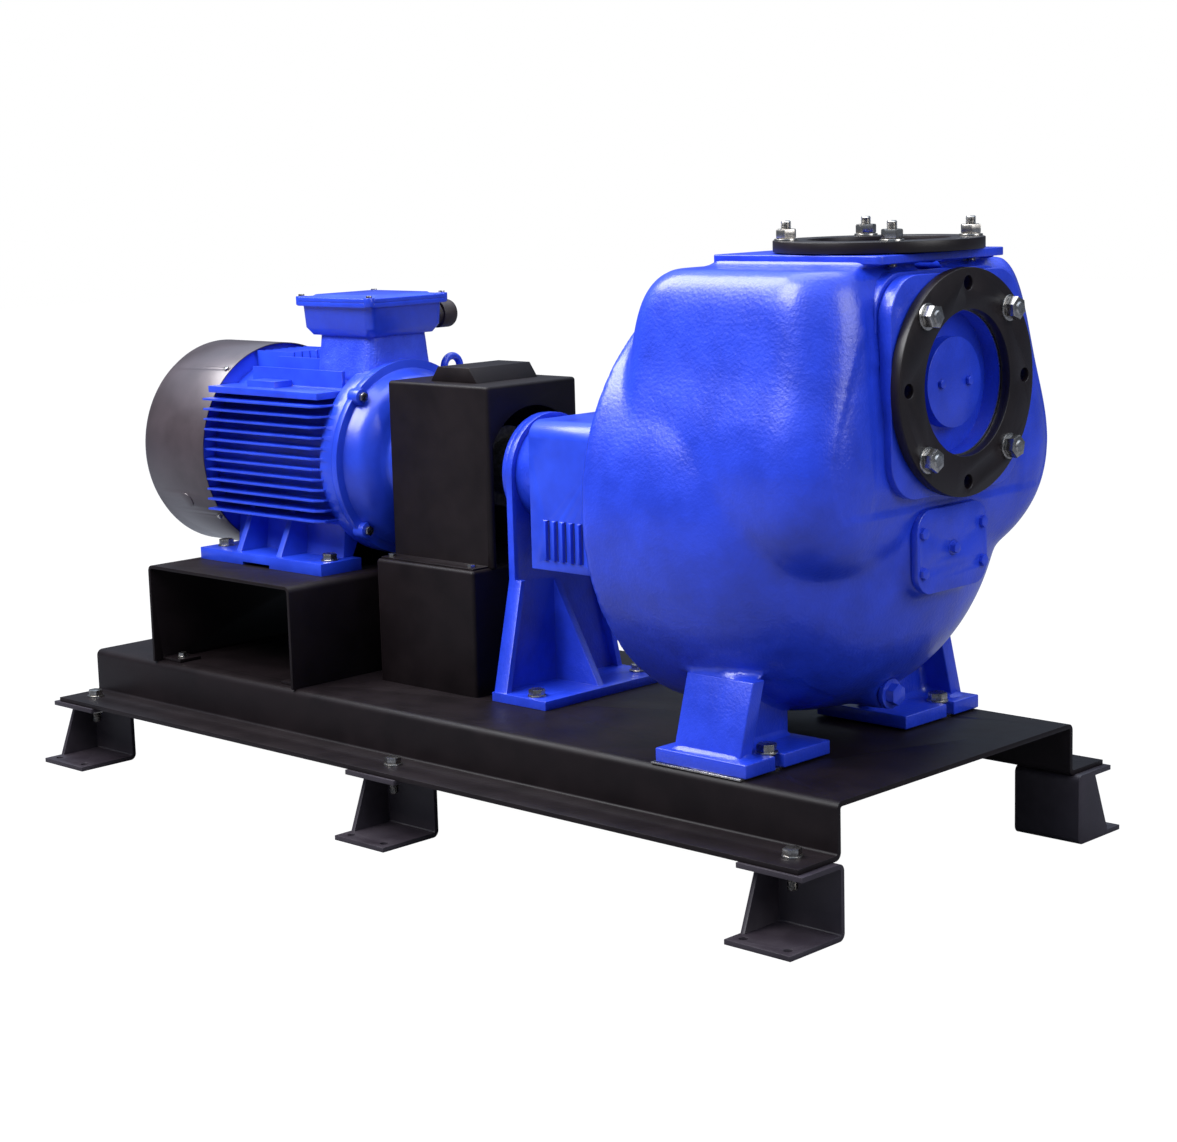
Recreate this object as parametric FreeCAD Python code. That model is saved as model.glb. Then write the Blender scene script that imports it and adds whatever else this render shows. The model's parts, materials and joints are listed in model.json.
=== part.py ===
"""Self-priming trash pump set: pump, motor, coupling and guard on one bent-plate base.

Lengths are in millimetres. +X points from the motor to the suction flange, +Z is up, and the
origin lies on the floor under the middle of the base.
"""

import FreeCAD
import Part
import math
import os

V = FreeCAD.Vector
X, Y, Z = V(1, 0, 0), V(0, 1, 0), V(0, 0, 1)

# Clearances
running_gap = 0.05         # radial, shaft in bore
bolt_gap = 1.0             # radial, bolt in its hole
thread_gap = 0.15          # radial, nut or tapped hole round its thread
thread_end = 22.0          # bolt's grip and end beyond the clamped plates
seat_gap = 0.3             # between curved faces that only touch
air_gap = 1.0              # between rotor and stator

# Base frame: a hat-shaped channel of bent plate
base_length = 1828.0
base_width = 616.0
base_plate = 8.0
base_drop = 79.0           # deck top to flange top
base_flange = 91.0         # flange beyond the side wall
bend_radius = 12.0         # outside of each bend

# Foot brackets
foot_height = 116.0
foot_length = 123.0
foot_reach = 125.0         # bottom plate beyond the side wall
foot_top_reach = 96.0
foot_plate = 8.0
foot_overhang = 12.0       # bracket beyond the end of the base
gusset_top = 42.0
gusset_bottom = 80.0
foot_bolt_r = 8.0
foot_bolt_inset = 42.0     # from the side wall
anchor_r = 7.0
anchor_inset = 20.0        # from the bottom plate's free edges

# Motor riser: inverted channel of bent plate
riser_height = 186.0
riser_length = 418.0
riser_plate = 6.0
riser_margin = 62.0        # motor's front foot holes to the riser's front face
riser_bolt_r = 5.0
riser_tab_length = 52.0    # inward tabs that hold the riser down
riser_tab_width = 48.0
riser_tab_inset = 44.0     # deck's side wall to the tab's middle
riser_bolt_inset = 34.0    # riser's end wall to the bolt

# Motor, frame size 200
shaft_height = 200.0
motor_foot_x = 305.0       # hole spacing along the shaft
motor_foot_y = 318.0       # hole spacing across it
shoulder_to_hole = 145.0
motor_shaft_r = 27.5
motor_shaft_out = 110.0
motor_core_r = 40.0        # shaft under the rotor's core
motor_tail_gap = 44.0      # cowl's back to the shaft's rear end
motor_length = 762.0       # shaft end to the back of the cowl
cowl_r = 199.0
cowl_length = 196.0
cowl_sheet = 2.0
cowl_screw_r = 3.0
cowl_screw_grip = 8.0
barrel_r = 168.0
barrel_bore = 150.0
shield_to_shoulder = 103.0
fin_count = 12             # on each side
fin_pitch = 19.0
fin_thick = 3.5
fin_reach = 193.0          # tip of a side fin from the shaft's plane
fin_root = 4.0             # fin sunk in the barrel
fin_front_gap = 26.0       # fins' ends to the drive-end shield
fin_chamfer = 14.0
top_fin_count = 7
top_fin_reach = 188.0
top_fin_length = 110.0
barrel_ring = 12.0         # drive-end ring beyond the barrel
barrel_ring_width = 32.0
shelf_low = 118.0          # ledge above the side fins, above the shaft
shelf_thick = 12.0
shelf_inner = 108.0
shelf_reach = 178.0
shelf_front_gap = 35.0     # ledge's end to the drive-end shield
pad_back_gap = 83.0        # cowl to the bare pad on the ledge
pad_length = 80.0
pad_reach = 150.0
pad_rise = 12.0
rib_thick = 8.0
lifting_ribs = ((96.0, 50.0, 43.0, 163.0), (58.0, 15.0, 73.0, 180.0))   # near face, front gap, back gap, top
rib_root = 12.0            # rib sunk in the barrel
motor_foot_width = 400.0
motor_foot_length = 357.0
motor_foot_thick = 22.0
motor_foot_pad = 96.0      # width of each foot
motor_foot_back = 38.0     # riser's front face to the feet's front ends
motor_foot_relief = 6.0
motor_foot_relief_span = (0.36, 0.58)   # shares of the foot's length
foot_rib_thick = 14.0
foot_rib_starts = (96.0, 214.0)         # from the feet's back ends
foot_wall_inset = 24.0
foot_wall_thick = 22.0
motor_bolt_r = 8.0
shield_flange = 14.0
shield_nose = 12.0         # bearing's front face to the shaft's shoulder
shield_lug_r = 15.0
shield_lug_ring = 172.0
shield_lug_length = 26.0
shield_screw_r = 5.0
shield_screw_depth = 24.0  # in the motor's frame
stator_length = 210.0
rotor_r = 94.0
motor_bearing_r = 65.0
motor_bearing_bore = 30.0
motor_bearing_width = 31.0
roller_count = 10          # in every bearing
rear_shield_thick = 20.0
rear_seat_inset = 10.0     # cowl's front edge to the rear bearing
fan_r = 158.0
fan_blades = 8
fan_hub_r = 34.0
fan_hub_length = 62.0
fan_bore = 20.0
fan_front_gap = 66.0       # cowl's front edge to the fan
fan_sheet = 4.0
cowl_round = 16.0
cowl_slot_width = 15.0
cowl_slot_starts = (46.0, 72.0, 98.0, 124.0, 150.0)
cowl_spoke = 10.0
cowl_screw_inset = 13.0
cowl_plug_r = 16.0
cowl_plug_rise = 1.5
cowl_plug_back = 106.0     # behind the cowl's back face, towards the pump
cowl_plug_angle = 208.5    # from +Y, anticlockwise seen from the pump

# Terminal box
box_length = 196.0
box_width = 184.0
box_height = 62.0
box_wall = 6.0
box_base_z = 226.0         # above the shaft
box_centre_back = 78.0     # from the shield's flange back to the box's centre
lid_margin = 8.0
lid_height = 12.0
neck_length = 168.0
neck_width = 156.0
gland_r = 26.0
gland_length = 48.0
gland_forward = 62.0       # from the box's middle towards the pump
gland_rise = 30.0          # above the box's base
gland_collar = 11.0
gland_neck = 5.0           # collar below the body's radius
gland_round = 10.0
lid_plate = 8.0
lid_corner = 18.0
box_corner = 16.0
lid_screw_flats = 10.0
lid_screw_head = 5.0
eye_r = 20.0
eye_wire_r = 7.0
eye_angle = 42.0           # from upright, towards +Y

# Coupling
coupling_r = 72.0
hub_length = 84.0
hub_neck_r = 52.0
jaw_length = 24.0
jaw_angle = 40.0
jaw_count = 3
spider_bore = 26.0
spider_ring_r = 36.0
shaft_gap = 25.0

# Coupling guard and its stand
stand_length = 253.0
stand_width = 308.0
stand_height = 223.0
guard_length = 258.0
guard_width = 220.0
guard_height = 316.0
guard_sheet = 3.0
guard_lip = 36.0
guard_arch_r = 112.0
guard_edge = 9.0           # sheet left beside the arch
guard_bend = 7.0
cap_base = 118.0
cap_top = 80.0
cap_rise = 26.0
cap_width = 150.0
cap_forward = 8.0
guard_screw_r = 4.0
guard_screw_inset = 20.0
stand_lug_inset = 24.0
stand_lug_length = 36.0
stand_lug_width = 40.0
stand_lug_thick = 5.0

# Pump bearing frame and pedestal
frame_length = 425.0       # back of the bearing frame to the back of the casing
pump_shaft_out = 116.0     # shaft beyond the bearing frame
pump_shaft_r = 27.5
pump_journal_r = 32.5
housing_r = 92.0
cap_flange_r = 101.0
cap_flange_length = 16.0
cap_screw_r = 4.0
cap_screw_ring = 80.0
cap_screw_depth = 12.0     # in the bearing frame
pump_bearing_r = 70.0
pump_bearing_width = 33.0
bearing_inset = 12.0       # housing's end to the first bearing
bearing_span = 150.0
bearing_lip = 12.0         # shoulder between the bearings
adapter_r = 214.0
adapter_flange = 20.0
adapter_cone_length = 110.0
adapter_cone_r = 174.0     # where the cone meets its flange
adapter_wall = 18.0
seal_plate_thick = 22.0
seal_plate_spigot = 6.0    # into the casing's back opening
seal_seat_r = 56.0
seal_seat_width = 10.0
seal_ring_r = 50.0
cover_start = 76.0          # behind the pedestal plate's back face
cover_clear = 1.0          # between the cover and the start of the adapter's cone
cover_half_width = 120.0
cover_top = 102.0          # above the shaft
cover_bottom = 150.0       # below the shaft
cover_sheet = 4.0
cover_corner = 30.0
louvre_pitch = 19.5
louvre_height = 68.0
louvre_depth = 6.0
louvre_width = 12.0
louvre_slot = 4.0
louvre_rise = 17.0         # above the cover's lower edge
louvre_start = 28.0
louvre_end = 54.5          # plain length of the cover past the last louvre
cover_rail_start = 20.0
cover_rail_length = 20.0
pedestal_plate = 14.0
pedestal_neck = 102.0      # half width beside the bearing housing
pedestal_flare_z = 180.0   # below the shaft
pedestal_foot_length = 130.0
pedestal_foot_half = 152.0
pedestal_foot_thick = 16.0
pedestal_bolt_r = 8.0
pedestal_bolt_x = 86.0     # in front of the plate's back face
pedestal_bolt_inset = 24.0
pedestal_gusset = 14.0
pedestal_rim = 12.0
pedestal_rim_depth = 16.0
pedestal_shoulder = 6.0    # foot beyond the plate's lower corners

# Pump casing
casing_length = 477.0      # back face to suction flange face
casing_wall = 14.0
drum_r = 346.0
drum_straight = 110.0
drum_nose = 326.0
drum_power = 2.4           # roundness of the drum's nose
chamber_top = 366.0        # above the shaft
chamber_half = 308.0
casing_opening_r = 178.0
casing_bolt_ring = 196.0
casing_bolt_count = 8
casing_bolt_r = 6.0
casing_bolt_depth = 10.0   # in the casing's back

# Suction side
suction_overhang = 12.0
suction_rise = 191.0       # above the pump shaft
suction_flange_r = 170.0
suction_pcd = 295.0
suction_hole_r = 11.0
port_r = 109.0
casing_port_r = 107.0
gasket_bore = 111.0
flange_thick = 17.0
flange_hole_count = 8
gasket_thick = 2.0
suction_pad_half = 164.0
suction_pad_corner = 62.0
suction_pad_depth = 64.0
stud_r = 10.0
stud_out = 22.0            # beyond the suction flange's face
stud_depth = 20.0          # of either flange's studs, in the casing
valve_depth = 45.0         # flange face to valve seat
valve_plate_r = 122.0
valve_plate_thick = 10.0
valve_weight_r = 68.0
valve_weight_thick = 20.0
valve_ballast_r = 85.0
valve_ballast_thick = 46.0   # inner weight, which hangs the flap shut
valve_pin_r = 8.0
valve_pin_rise = 136.0
valve_ear_width = 24.0
valve_pin_back = 16.0      # behind the seat
valve_pocket_half = 86.0
valve_pocket_top = 154.0   # above the suction centre
valve_pocket_r = 128.0
valve_pocket_depth = 40.0
valve_ear_y = 44.0         # shaft's plane to the middle of each ear
valve_pin_length = 152.0
valve_lug_y = 70.0
valve_lug = 16.0           # width of each hinge lug
valve_lug_half = 12.0
flap_screw_y = 35.0
flap_screw_flats = 13.0
flap_screw_head = 6.0

# Discharge side
discharge_centre_back = 164.0   # suction face back to the discharge centre
discharge_flange_r = 160.0
discharge_pcd = 280.0
discharge_hole_r = 9.0
discharge_stud_r = 8.0
discharge_stud_out = 30.0  # beyond the discharge flange's face
discharge_pad_length = 320.0
discharge_pad_width = 316.0
discharge_pad_thick = 12.0
discharge_pad_corner = 10.0
flare_depth = 44.0         # below the pad
discharge_pad_back = 38.0       # pad's centre behind the discharge centre

# Inspection cover and drain
hand_cover_half_y = 90.0
hand_cover_half_z = 64.0
hand_cover_corner = 34.0
hand_cover_thick = 12.0
hand_cover_drop = 58.0     # below the shaft
hand_cover_back = 28.0     # suction face back to the cover's face
hand_bolt_y = 76.0
hand_bolt_z = 30.0
hand_bolt_r = 5.0
hand_bolt_depth = 14.0     # in the casing's boss
hand_boss_depth = 90.0
hand_hole_r = 46.0
plug_r = 11.0
plug_flats = 15.0
plug_head = 9.0
drain_drop = 300.0         # below the shaft
drain_r = 17.0
drain_depth = 16.0
drain_collar_r = 24.0
drain_collar = 8.0
drain_flats = 30.0
drain_head = 14.0
drain_boss_r = 26.0
drain_share = 0.66         # of the drum's nose, back face of the drain boss

# Small bare boss beside the suction flange
blank_y = 188.0
blank_width = 58.0
blank_height = 47.0
blank_back = 40.0          # suction face back to the boss's face
blank_depth = 20.0
blank_rise = 33.0          # above the shaft

# Pump feet
pump_foot_x0 = 106.0       # from the casing's back face
pump_foot_length = 182.0
pump_foot_outer = 300.0
pump_foot_inner = 98.0
pump_foot_thick = 22.0
pump_bolt_front = 26.0     # foot's front end to its bolt
pump_leg_inset = 14.0
pump_leg_start = 26.0      # foot's back end to the leg
pump_brace_thick = 24.0
pump_brace_share = 0.42    # of the leg's length
pump_leg_thick = 28.0
pump_leg_length = 132.0
pump_leg_rise = 114.0
pump_leg_lean = 34.0
pump_bolt_y = 220.0
pump_bolt_r = 9.0
shim_thick = 3.0
shim_reach = 4.0           # shim beyond the foot's outer edge

# Impeller and volute
impeller_r = 148.0
impeller_disc = 12.0
impeller_vane = 66.0
impeller_vane_thick = 12.0
vane_sweep = 75.0          # degrees from hub to rim
impeller_vanes = 3
impeller_hub_r = 44.0
impeller_hub_length = 30.0  # in front of the disc
impeller_bore = 22.0
impeller_hub_taper = 8.0
vane_root = 12.0           # vane sunk in the hub
vane_tip_gap = 6.0
impeller_back_gap = 8.0
impeller_washer_r = 30.0
impeller_washer = 6.0
impeller_nut_flats = 36.0
impeller_nut_height = 18.0
wear_gap = 1.5
wear_plate_thick = 12.0
eye_bore = 82.0
volute_wall = 14.0
volute_start_r = 176.0
volute_growth = 62.0

# Stations along the shaft and heights
deck_z = foot_height + base_plate + base_drop
axis_z = deck_z + riser_height + shaft_height
suction_x = base_length / 2 + suction_overhang
suction_z = axis_z + suction_rise
casing_x = suction_x - casing_length
bearing_x = casing_x - frame_length
adapter_cone_x = casing_x - seal_plate_thick - adapter_flange - adapter_cone_length
cover_x = bearing_x + cap_flange_length + cover_start
cover_length = adapter_cone_x - cover_clear - cover_x
louvre_count = int((cover_length - louvre_start - louvre_end) / louvre_pitch)
pump_end_x = bearing_x - pump_shaft_out
motor_end_x = pump_end_x - shaft_gap
shoulder_x = motor_end_x - motor_shaft_out
shield_x = shoulder_x - shield_to_shoulder
cowl_back_x = motor_end_x - motor_length
cowl_front_x = cowl_back_x + cowl_length
motor_hole_x = shoulder_x - shoulder_to_hole
riser_x1 = motor_hole_x + riser_margin
riser_x0 = riser_x1 - riser_length
riser_top = deck_z + riser_height
flange_z = deck_z - base_drop
stand_x0 = shoulder_x - 22.0
stand_top = deck_z + stand_height
discharge_x = suction_x - discharge_centre_back
pad_top = axis_z + chamber_top + discharge_pad_thick + 6.0
discharge_face = pad_top + gasket_thick + flange_thick
hand_face_x = suction_x - hand_cover_back
hand_z = axis_z - hand_cover_drop
blank_z = axis_z + blank_rise


def box(x0, x1, y0, y1, z0, z1):
    """A block between two corners."""
    return Part.makeBox(x1 - x0, y1 - y0, z1 - z0, V(x0, y0, z0))


def rod(radius, length, start, direction=X):
    """A round bar."""
    return Part.makeCylinder(radius, length, start, direction)


def tube(outer, inner, length, start, direction=X):
    """A round bar with a bore right through."""
    return rod(outer, length, start, direction).cut(rod(inner, length, start, direction))


def axis_point(x):
    """A point on the shaft's line."""
    return V(x, 0, axis_z)


def prism(points, direction):
    """A straight-sided outline pushed along a vector."""
    return Part.Face(Part.makePolygon(points + points[:1])).extrude(direction)


def turned(profile, start=V(0, 0, axis_z)):
    """A solid turned about the shaft's line, from points of (x, radius)."""
    points = [V(x, 0, start.z + r) for x, r in profile]
    return Part.Face(Part.makePolygon(points + points[:1])).revolve(start, X, 360)


def rounded_wire(centre, along, across, half_a, half_b, radius, back_radius=None):
    """A rectangle with round corners, in the plane of two unit vectors."""
    def place(a, b):
        return centre + along * a + across * b
    back = back_radius or radius
    corners = [(1, 1, radius), (-1, 1, back), (-1, -1, back), (1, -1, radius)]
    arcs = []
    for number, (sa, sb, size) in enumerate(corners):
        bow = size * (1 - math.sqrt(0.5))
        on_b = place(sa * half_a, sb * (half_b - size))
        on_a = place(sa * (half_a - size), sb * half_b)
        middle = place(sa * (half_a - bow), sb * (half_b - bow))
        first, last = (on_b, on_a) if number % 2 == 0 else (on_a, on_b)
        arcs.append((first, middle, last))
    edges = []
    for number, (first, middle, last) in enumerate(arcs):
        edges.append(Part.Arc(first, middle, last).toShape())
        edges.append(Part.LineSegment(last, arcs[(number + 1) % 4][0]).toShape())
    return Part.Wire(edges)


def rounded_block(centre, along, across, half_a, half_b, radius, direction):
    """A block with four round edges, pushed from its start face along a vector."""
    return Part.Face(rounded_wire(centre, along, across, half_a, half_b, radius)).extrude(direction)


def ring_places(count, radius, first=0.0):
    """Places on a circle in the plane across the shaft, as (y, z) from its centre."""
    for number in range(count):
        angle = math.radians(first + 360.0 * number / count)
        yield radius * math.cos(angle), radius * math.sin(angle)


def hexagon(across_flats, height, start, direction):
    """A hexagonal bolt head or nut."""
    side = across_flats / math.sqrt(3)
    points = [V(side * math.cos(math.radians(60 * k)), side * math.sin(math.radians(60 * k)), 0)
              for k in range(6)]
    solid = prism(points, V(0, 0, height))
    solid.Placement = FreeCAD.Placement(start, FreeCAD.Rotation(Z, direction))
    return solid


def bolt(radius, grip, face, outward):
    """A hexagon bolt whose washer lies on a face: head outward, shank the other way."""
    washer = 0.35 * radius
    head_base = face + outward * washer
    head = hexagon(3.1 * radius, 1.3 * radius, head_base, outward)
    disc = rod(2.0 * radius, washer, face, outward)
    shank = rod(radius, grip + washer, head_base, outward * -1)
    return head.fuse([disc, shank]).removeSplitter()


def nut(radius, face, outward):
    """A hexagon nut on a washer, bored to clear its thread."""
    washer = 0.35 * radius
    body = rod(2.0 * radius, washer, face, outward)
    body = body.fuse(hexagon(3.1 * radius, 1.6 * radius, face + outward * washer, outward))
    return body.removeSplitter().cut(rod(radius + thread_gap, 2.4 * radius, face, outward))


def screw(radius, grip, face, outward):
    """A small hexagon screw straight on its face."""
    head = hexagon(3.2 * radius, 1.2 * radius, face, outward)
    return head.fuse(rod(radius, grip, face, outward * -1)).removeSplitter()


def joined(shapes):
    """Several solids as one solid."""
    return shapes[0].fuse(shapes[1:]).removeSplitter()


def drilled(solid, radius, places, direction, length):
    """Round holes from each place along a direction."""
    return solid.cut([rod(radius, length, place, direction) for place in places])


def bent_profile(points, radius):
    """A polygon in the YZ plane whose marked corners are rounded: points of (y, z, bend)."""
    edges = []
    ends = []
    count = len(points)
    for number, (y, z, bend) in enumerate(points):
        corner = V(0, y, z)
        before = V(0, *points[number - 1][:2])
        after = V(0, *points[(number + 1) % count][:2])
        if not bend:
            ends.append((corner, corner))
            continue
        back = (before - corner).normalize() * bend
        forth = (after - corner).normalize() * bend
        centre = corner + back + forth
        middle = centre + (corner - centre).normalize() * bend
        edges.append(Part.Arc(corner + back, middle, corner + forth).toShape())
        ends.append((corner + back, corner + forth))
    for number in range(count):
        start = ends[number][1]
        finish = ends[(number + 1) % count][0]
        edges.append(Part.LineSegment(start, finish).toShape())
    return Part.Face(Part.Wire(Part.__sortEdges__(edges)))


def bent_channel(half_width, top, drop, lip, sheet, bend):
    """A channel of bent plate, open below, as a face in the YZ plane; lip 0 leaves none."""
    inner = bend - sheet
    low = top - drop
    side = [(half_width, low, 0), (half_width, top, bend)]
    under = [(half_width - sheet, low, 0), (half_width - sheet, top - sheet, inner)]
    if lip:
        side = [(half_width + lip, low - sheet, 0), (half_width + lip, low, 0),
                (half_width, low, inner), (half_width, top, bend)]
        under = [(half_width - sheet, low - sheet, bend), (half_width - sheet, top - sheet, inner)]
    far_side = [(-y, z, b) for y, z, b in side[::-1]]
    far_under = [(-y, z, b) for y, z, b in under]
    return bent_profile(side + far_side + far_under + under[::-1], bend)


def foot_centres():
    """The feet's middles along X: rear, middle and front."""
    reach = base_length / 2 + foot_overhang - foot_length / 2
    return {"rear": -reach, "middle": 0.0, "front": reach}


def foot_bolt_places():
    """The foot bolts, on the flanges' upper faces."""
    y = base_width / 2 + foot_bolt_inset
    return [V(x, side * y, flange_z) for x in foot_centres().values() for side in (-1, 1)]


def pump_foot_bolt_places():
    """The pump's foot bolts, on the deck."""
    x = casing_x + pump_foot_x0 + pump_foot_length - pump_bolt_front
    return [V(x, side * pump_bolt_y, deck_z) for side in (-1, 1)]


def pedestal_bolt_places():
    """The pedestal's bolts, on the deck."""
    x = bearing_x + cap_flange_length + pedestal_bolt_x
    y = pedestal_foot_half - pedestal_bolt_inset
    return [V(x, side * y, deck_z) for side in (-1, 1)]


def motor_bolt_places():
    """The motor's foot bolts, on the riser."""
    return [V(motor_hole_x - step, side * motor_foot_y / 2, riser_top)
            for step in (0, motor_foot_x) for side in (-1, 1)]


def riser_bolt_places():
    """The riser's bolts through its inward tabs, on the deck."""
    return [V(x, side * (base_width / 2 - riser_tab_inset), deck_z)
            for x in (riser_x0 + riser_bolt_inset, riser_x1 - riser_bolt_inset) for side in (-1, 1)]


def make_base_frame():
    """The hat channel, bent from one plate and drilled for what stands on it."""
    face = bent_channel(base_width / 2, deck_z, base_drop, base_flange, base_plate, bend_radius)
    face.translate(V(-base_length / 2, 0, 0))
    frame = face.extrude(V(base_length, 0, 0))
    frame = drilled(frame, foot_bolt_r + bolt_gap, foot_bolt_places(), Z * -1, base_plate)
    frame = drilled(frame, pump_bolt_r + bolt_gap, pump_foot_bolt_places(), Z * -1, base_plate)
    frame = drilled(frame, pedestal_bolt_r + bolt_gap, pedestal_bolt_places(), Z * -1, base_plate)
    return drilled(frame, riser_bolt_r + bolt_gap, riser_bolt_places(), Z * -1, base_plate)


def make_foot_bracket(centre_x, side):
    """One bent foot: top plate under the flange, web in the wall's plane, bottom plate, gusset."""
    wall = base_width / 2
    height = foot_height
    reach = foot_plate
    outline = [(wall, 0, bend_radius), (wall + foot_reach, 0, 0), (wall + foot_reach, reach, 0),
               (wall + reach, reach, bend_radius - reach),
               (wall + reach, height - reach, bend_radius - reach),
               (wall + foot_top_reach, height - reach, 0), (wall + foot_top_reach, height, 0),
               (wall, height, bend_radius)]
    face = bent_profile(outline, bend_radius)
    face.translate(V(-foot_length / 2, 0, 0))
    bracket = face.extrude(V(foot_length, 0, 0))
    inner = wall + reach
    gusset = [V(foot_length / 2 - foot_plate, inner, reach),
              V(foot_length / 2 - foot_plate, inner + gusset_bottom, reach),
              V(foot_length / 2 - foot_plate, inner + gusset_top, height - reach),
              V(foot_length / 2 - foot_plate, inner, height - reach)]
    bracket = bracket.fuse(prism(gusset, V(foot_plate, 0, 0))).removeSplitter()
    bolt_place = V(0, wall + foot_bolt_inset, height - reach)
    bracket = bracket.cut(rod(foot_bolt_r + bolt_gap, foot_plate, bolt_place, Z))
    anchors = [V(sx * (foot_length / 2 - anchor_inset), wall + foot_reach - anchor_inset, 0)
               for sx in (-1, 1)]
    bracket = drilled(bracket, anchor_r, anchors, Z, foot_plate)
    if side < 0:
        bracket.rotate(V(0, 0, 0), Z, 180)
    bracket.translate(V(centre_x, 0, 0))
    return bracket


def clamped(radius, upper, lower, places, rise=None, end=thread_end):
    """Bolts down through two plates with a nut under each, as separate solids.

    The places lie on the lower plate; the heads stand on the upper one, or at the stated rise.
    """
    rise = upper if rise is None else rise
    solids = []
    for place in places:
        head = place + Z * rise
        solids.append(bolt(radius, upper + lower + end, head, Z))
        solids.append(nut(radius, head - Z * (upper + lower), Z * -1))
    return solids


def make_riser():
    """The motor's riser: an inverted channel across the deck, open at both ends."""
    face = bent_channel(riser_length / 2, riser_top, riser_height, 0, riser_plate, bend_radius)
    face.translate(V(-base_width / 2, 0, 0))
    channel = face.extrude(V(base_width, 0, 0))
    channel.rotate(V(0, 0, 0), Z, 90)
    channel.translate(V((riser_x0 + riser_x1) / 2, 0, 0))
    tabs = []
    for x0 in (riser_x0 + riser_plate, riser_x1 - riser_plate - riser_tab_length):
        for side in (-1, 1):
            y = side * (base_width / 2 - riser_tab_inset)
            tabs.append(box(x0, x0 + riser_tab_length, y - riser_tab_width / 2, y + riser_tab_width / 2,
                            deck_z, deck_z + riser_plate))
    channel = joined([channel] + tabs)
    channel = drilled(channel, riser_bolt_r + bolt_gap, riser_bolt_places(), Z, riser_plate)
    return drilled(channel, motor_bolt_r + bolt_gap, motor_bolt_places(), Z * -1, riser_plate)


def fin_heights():
    """Heights of the side fins above the shaft, evenly spaced."""
    first = -fin_pitch * (fin_count - 1) / 2
    return [first + fin_pitch * number for number in range(fin_count)]


def make_side_fins():
    """The level fins on both sides of the motor's barrel, their front ends cut off at a slant."""
    x0 = cowl_front_x
    x1 = shield_x - fin_front_gap
    fins = []
    for height in fin_heights():
        z = axis_z + height
        root = math.sqrt(barrel_r ** 2 - height ** 2) - fin_root
        for side in (-1, 1):
            outline = [V(x0, side * root, z), V(x0, side * fin_reach, z),
                       V(x1 - fin_chamfer, side * fin_reach, z), V(x1, side * (fin_reach - fin_chamfer), z),
                       V(x1, side * root, z)]
            fins.append(prism(outline, V(0, 0, fin_thick)))
    return fins


def make_top_fins():
    """The upright fins on top of the barrel, behind the terminal box."""
    x0 = cowl_front_x
    fins = []
    for number in range(top_fin_count):
        y = (number - (top_fin_count - 1) / 2) * fin_pitch
        root = math.sqrt(barrel_r ** 2 - y ** 2) - fin_root
        fins.append(box(x0, x0 + top_fin_length, y, y + fin_thick, axis_z + root, axis_z + top_fin_reach))
    return fins


def make_shoulders():
    """The ledge above the side fins with its bare pad, and the lifting ribs, on both sides."""
    shoulders = []
    for side in (-1, 1):
        near, far = sorted((side * shelf_inner, side * shelf_reach))
        low = axis_z + shelf_low
        high = low + shelf_thick
        shoulders.append(box(cowl_front_x, shield_x - shelf_front_gap, near, far, low, high))
        near, far = sorted((side * shelf_inner, side * pad_reach))
        pad_x = cowl_front_x + pad_back_gap
        shoulders.append(box(pad_x, pad_x + pad_length, near, far, high - 1.0, high + pad_rise))
        for inner, front_gap, back_gap, top in lifting_ribs:
            near, far = sorted((side * inner, side * (inner + rib_thick)))
            root = math.sqrt(barrel_r ** 2 - (inner + rib_thick) ** 2) - rib_root
            shoulders.append(box(cowl_front_x + back_gap, shield_x - front_gap, near, far,
                                 axis_z + root, axis_z + top))
    return shoulders


def make_motor_foot(side):
    """One foot of the motor: a relieved pad, two cross ribs and the wall up to the barrel."""
    x1 = riser_x1 - motor_foot_back
    x0 = x1 - motor_foot_length
    top = riser_top + motor_foot_thick
    outer = side * motor_foot_width / 2
    inner = outer - side * motor_foot_pad
    near, far = sorted((outer, inner))
    first, last = motor_foot_relief_span
    relief = box(x0 + first * motor_foot_length, x0 + last * motor_foot_length, near, far,
                 riser_top, riser_top + motor_foot_relief)
    pieces = [box(x0, x1, near, far, riser_top, top).cut(relief)]
    for start in foot_rib_starts:
        x = x0 + start
        rib = [V(x, outer - side * 12.0, top), V(x, side * barrel_r * 0.86, axis_z - barrel_r * 0.52),
               V(x, side * barrel_r * 0.44, axis_z - barrel_r * 0.80), V(x, inner, top)]
        pieces.append(prism(rib, V(foot_rib_thick, 0, 0)))
    x = x0 + foot_wall_inset
    wall = [V(x, inner, top - 2.0), V(x, side * barrel_r * 0.50, axis_z - barrel_r * 0.82),
            V(x, side * barrel_r * 0.70, axis_z - barrel_r * 0.66),
            V(x, inner + side * foot_wall_thick, top - 2.0)]
    pieces.append(prism(wall, V(motor_foot_length - 2 * foot_wall_inset, 0, 0)))
    return pieces


def shield_screw_places():
    """The drive-end shield's four screws, on the front faces of its lugs."""
    x = shield_x + shield_lug_length
    return [V(x, y, axis_z + z) for y, z in ring_places(4, shield_lug_ring, 45.0)]


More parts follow.
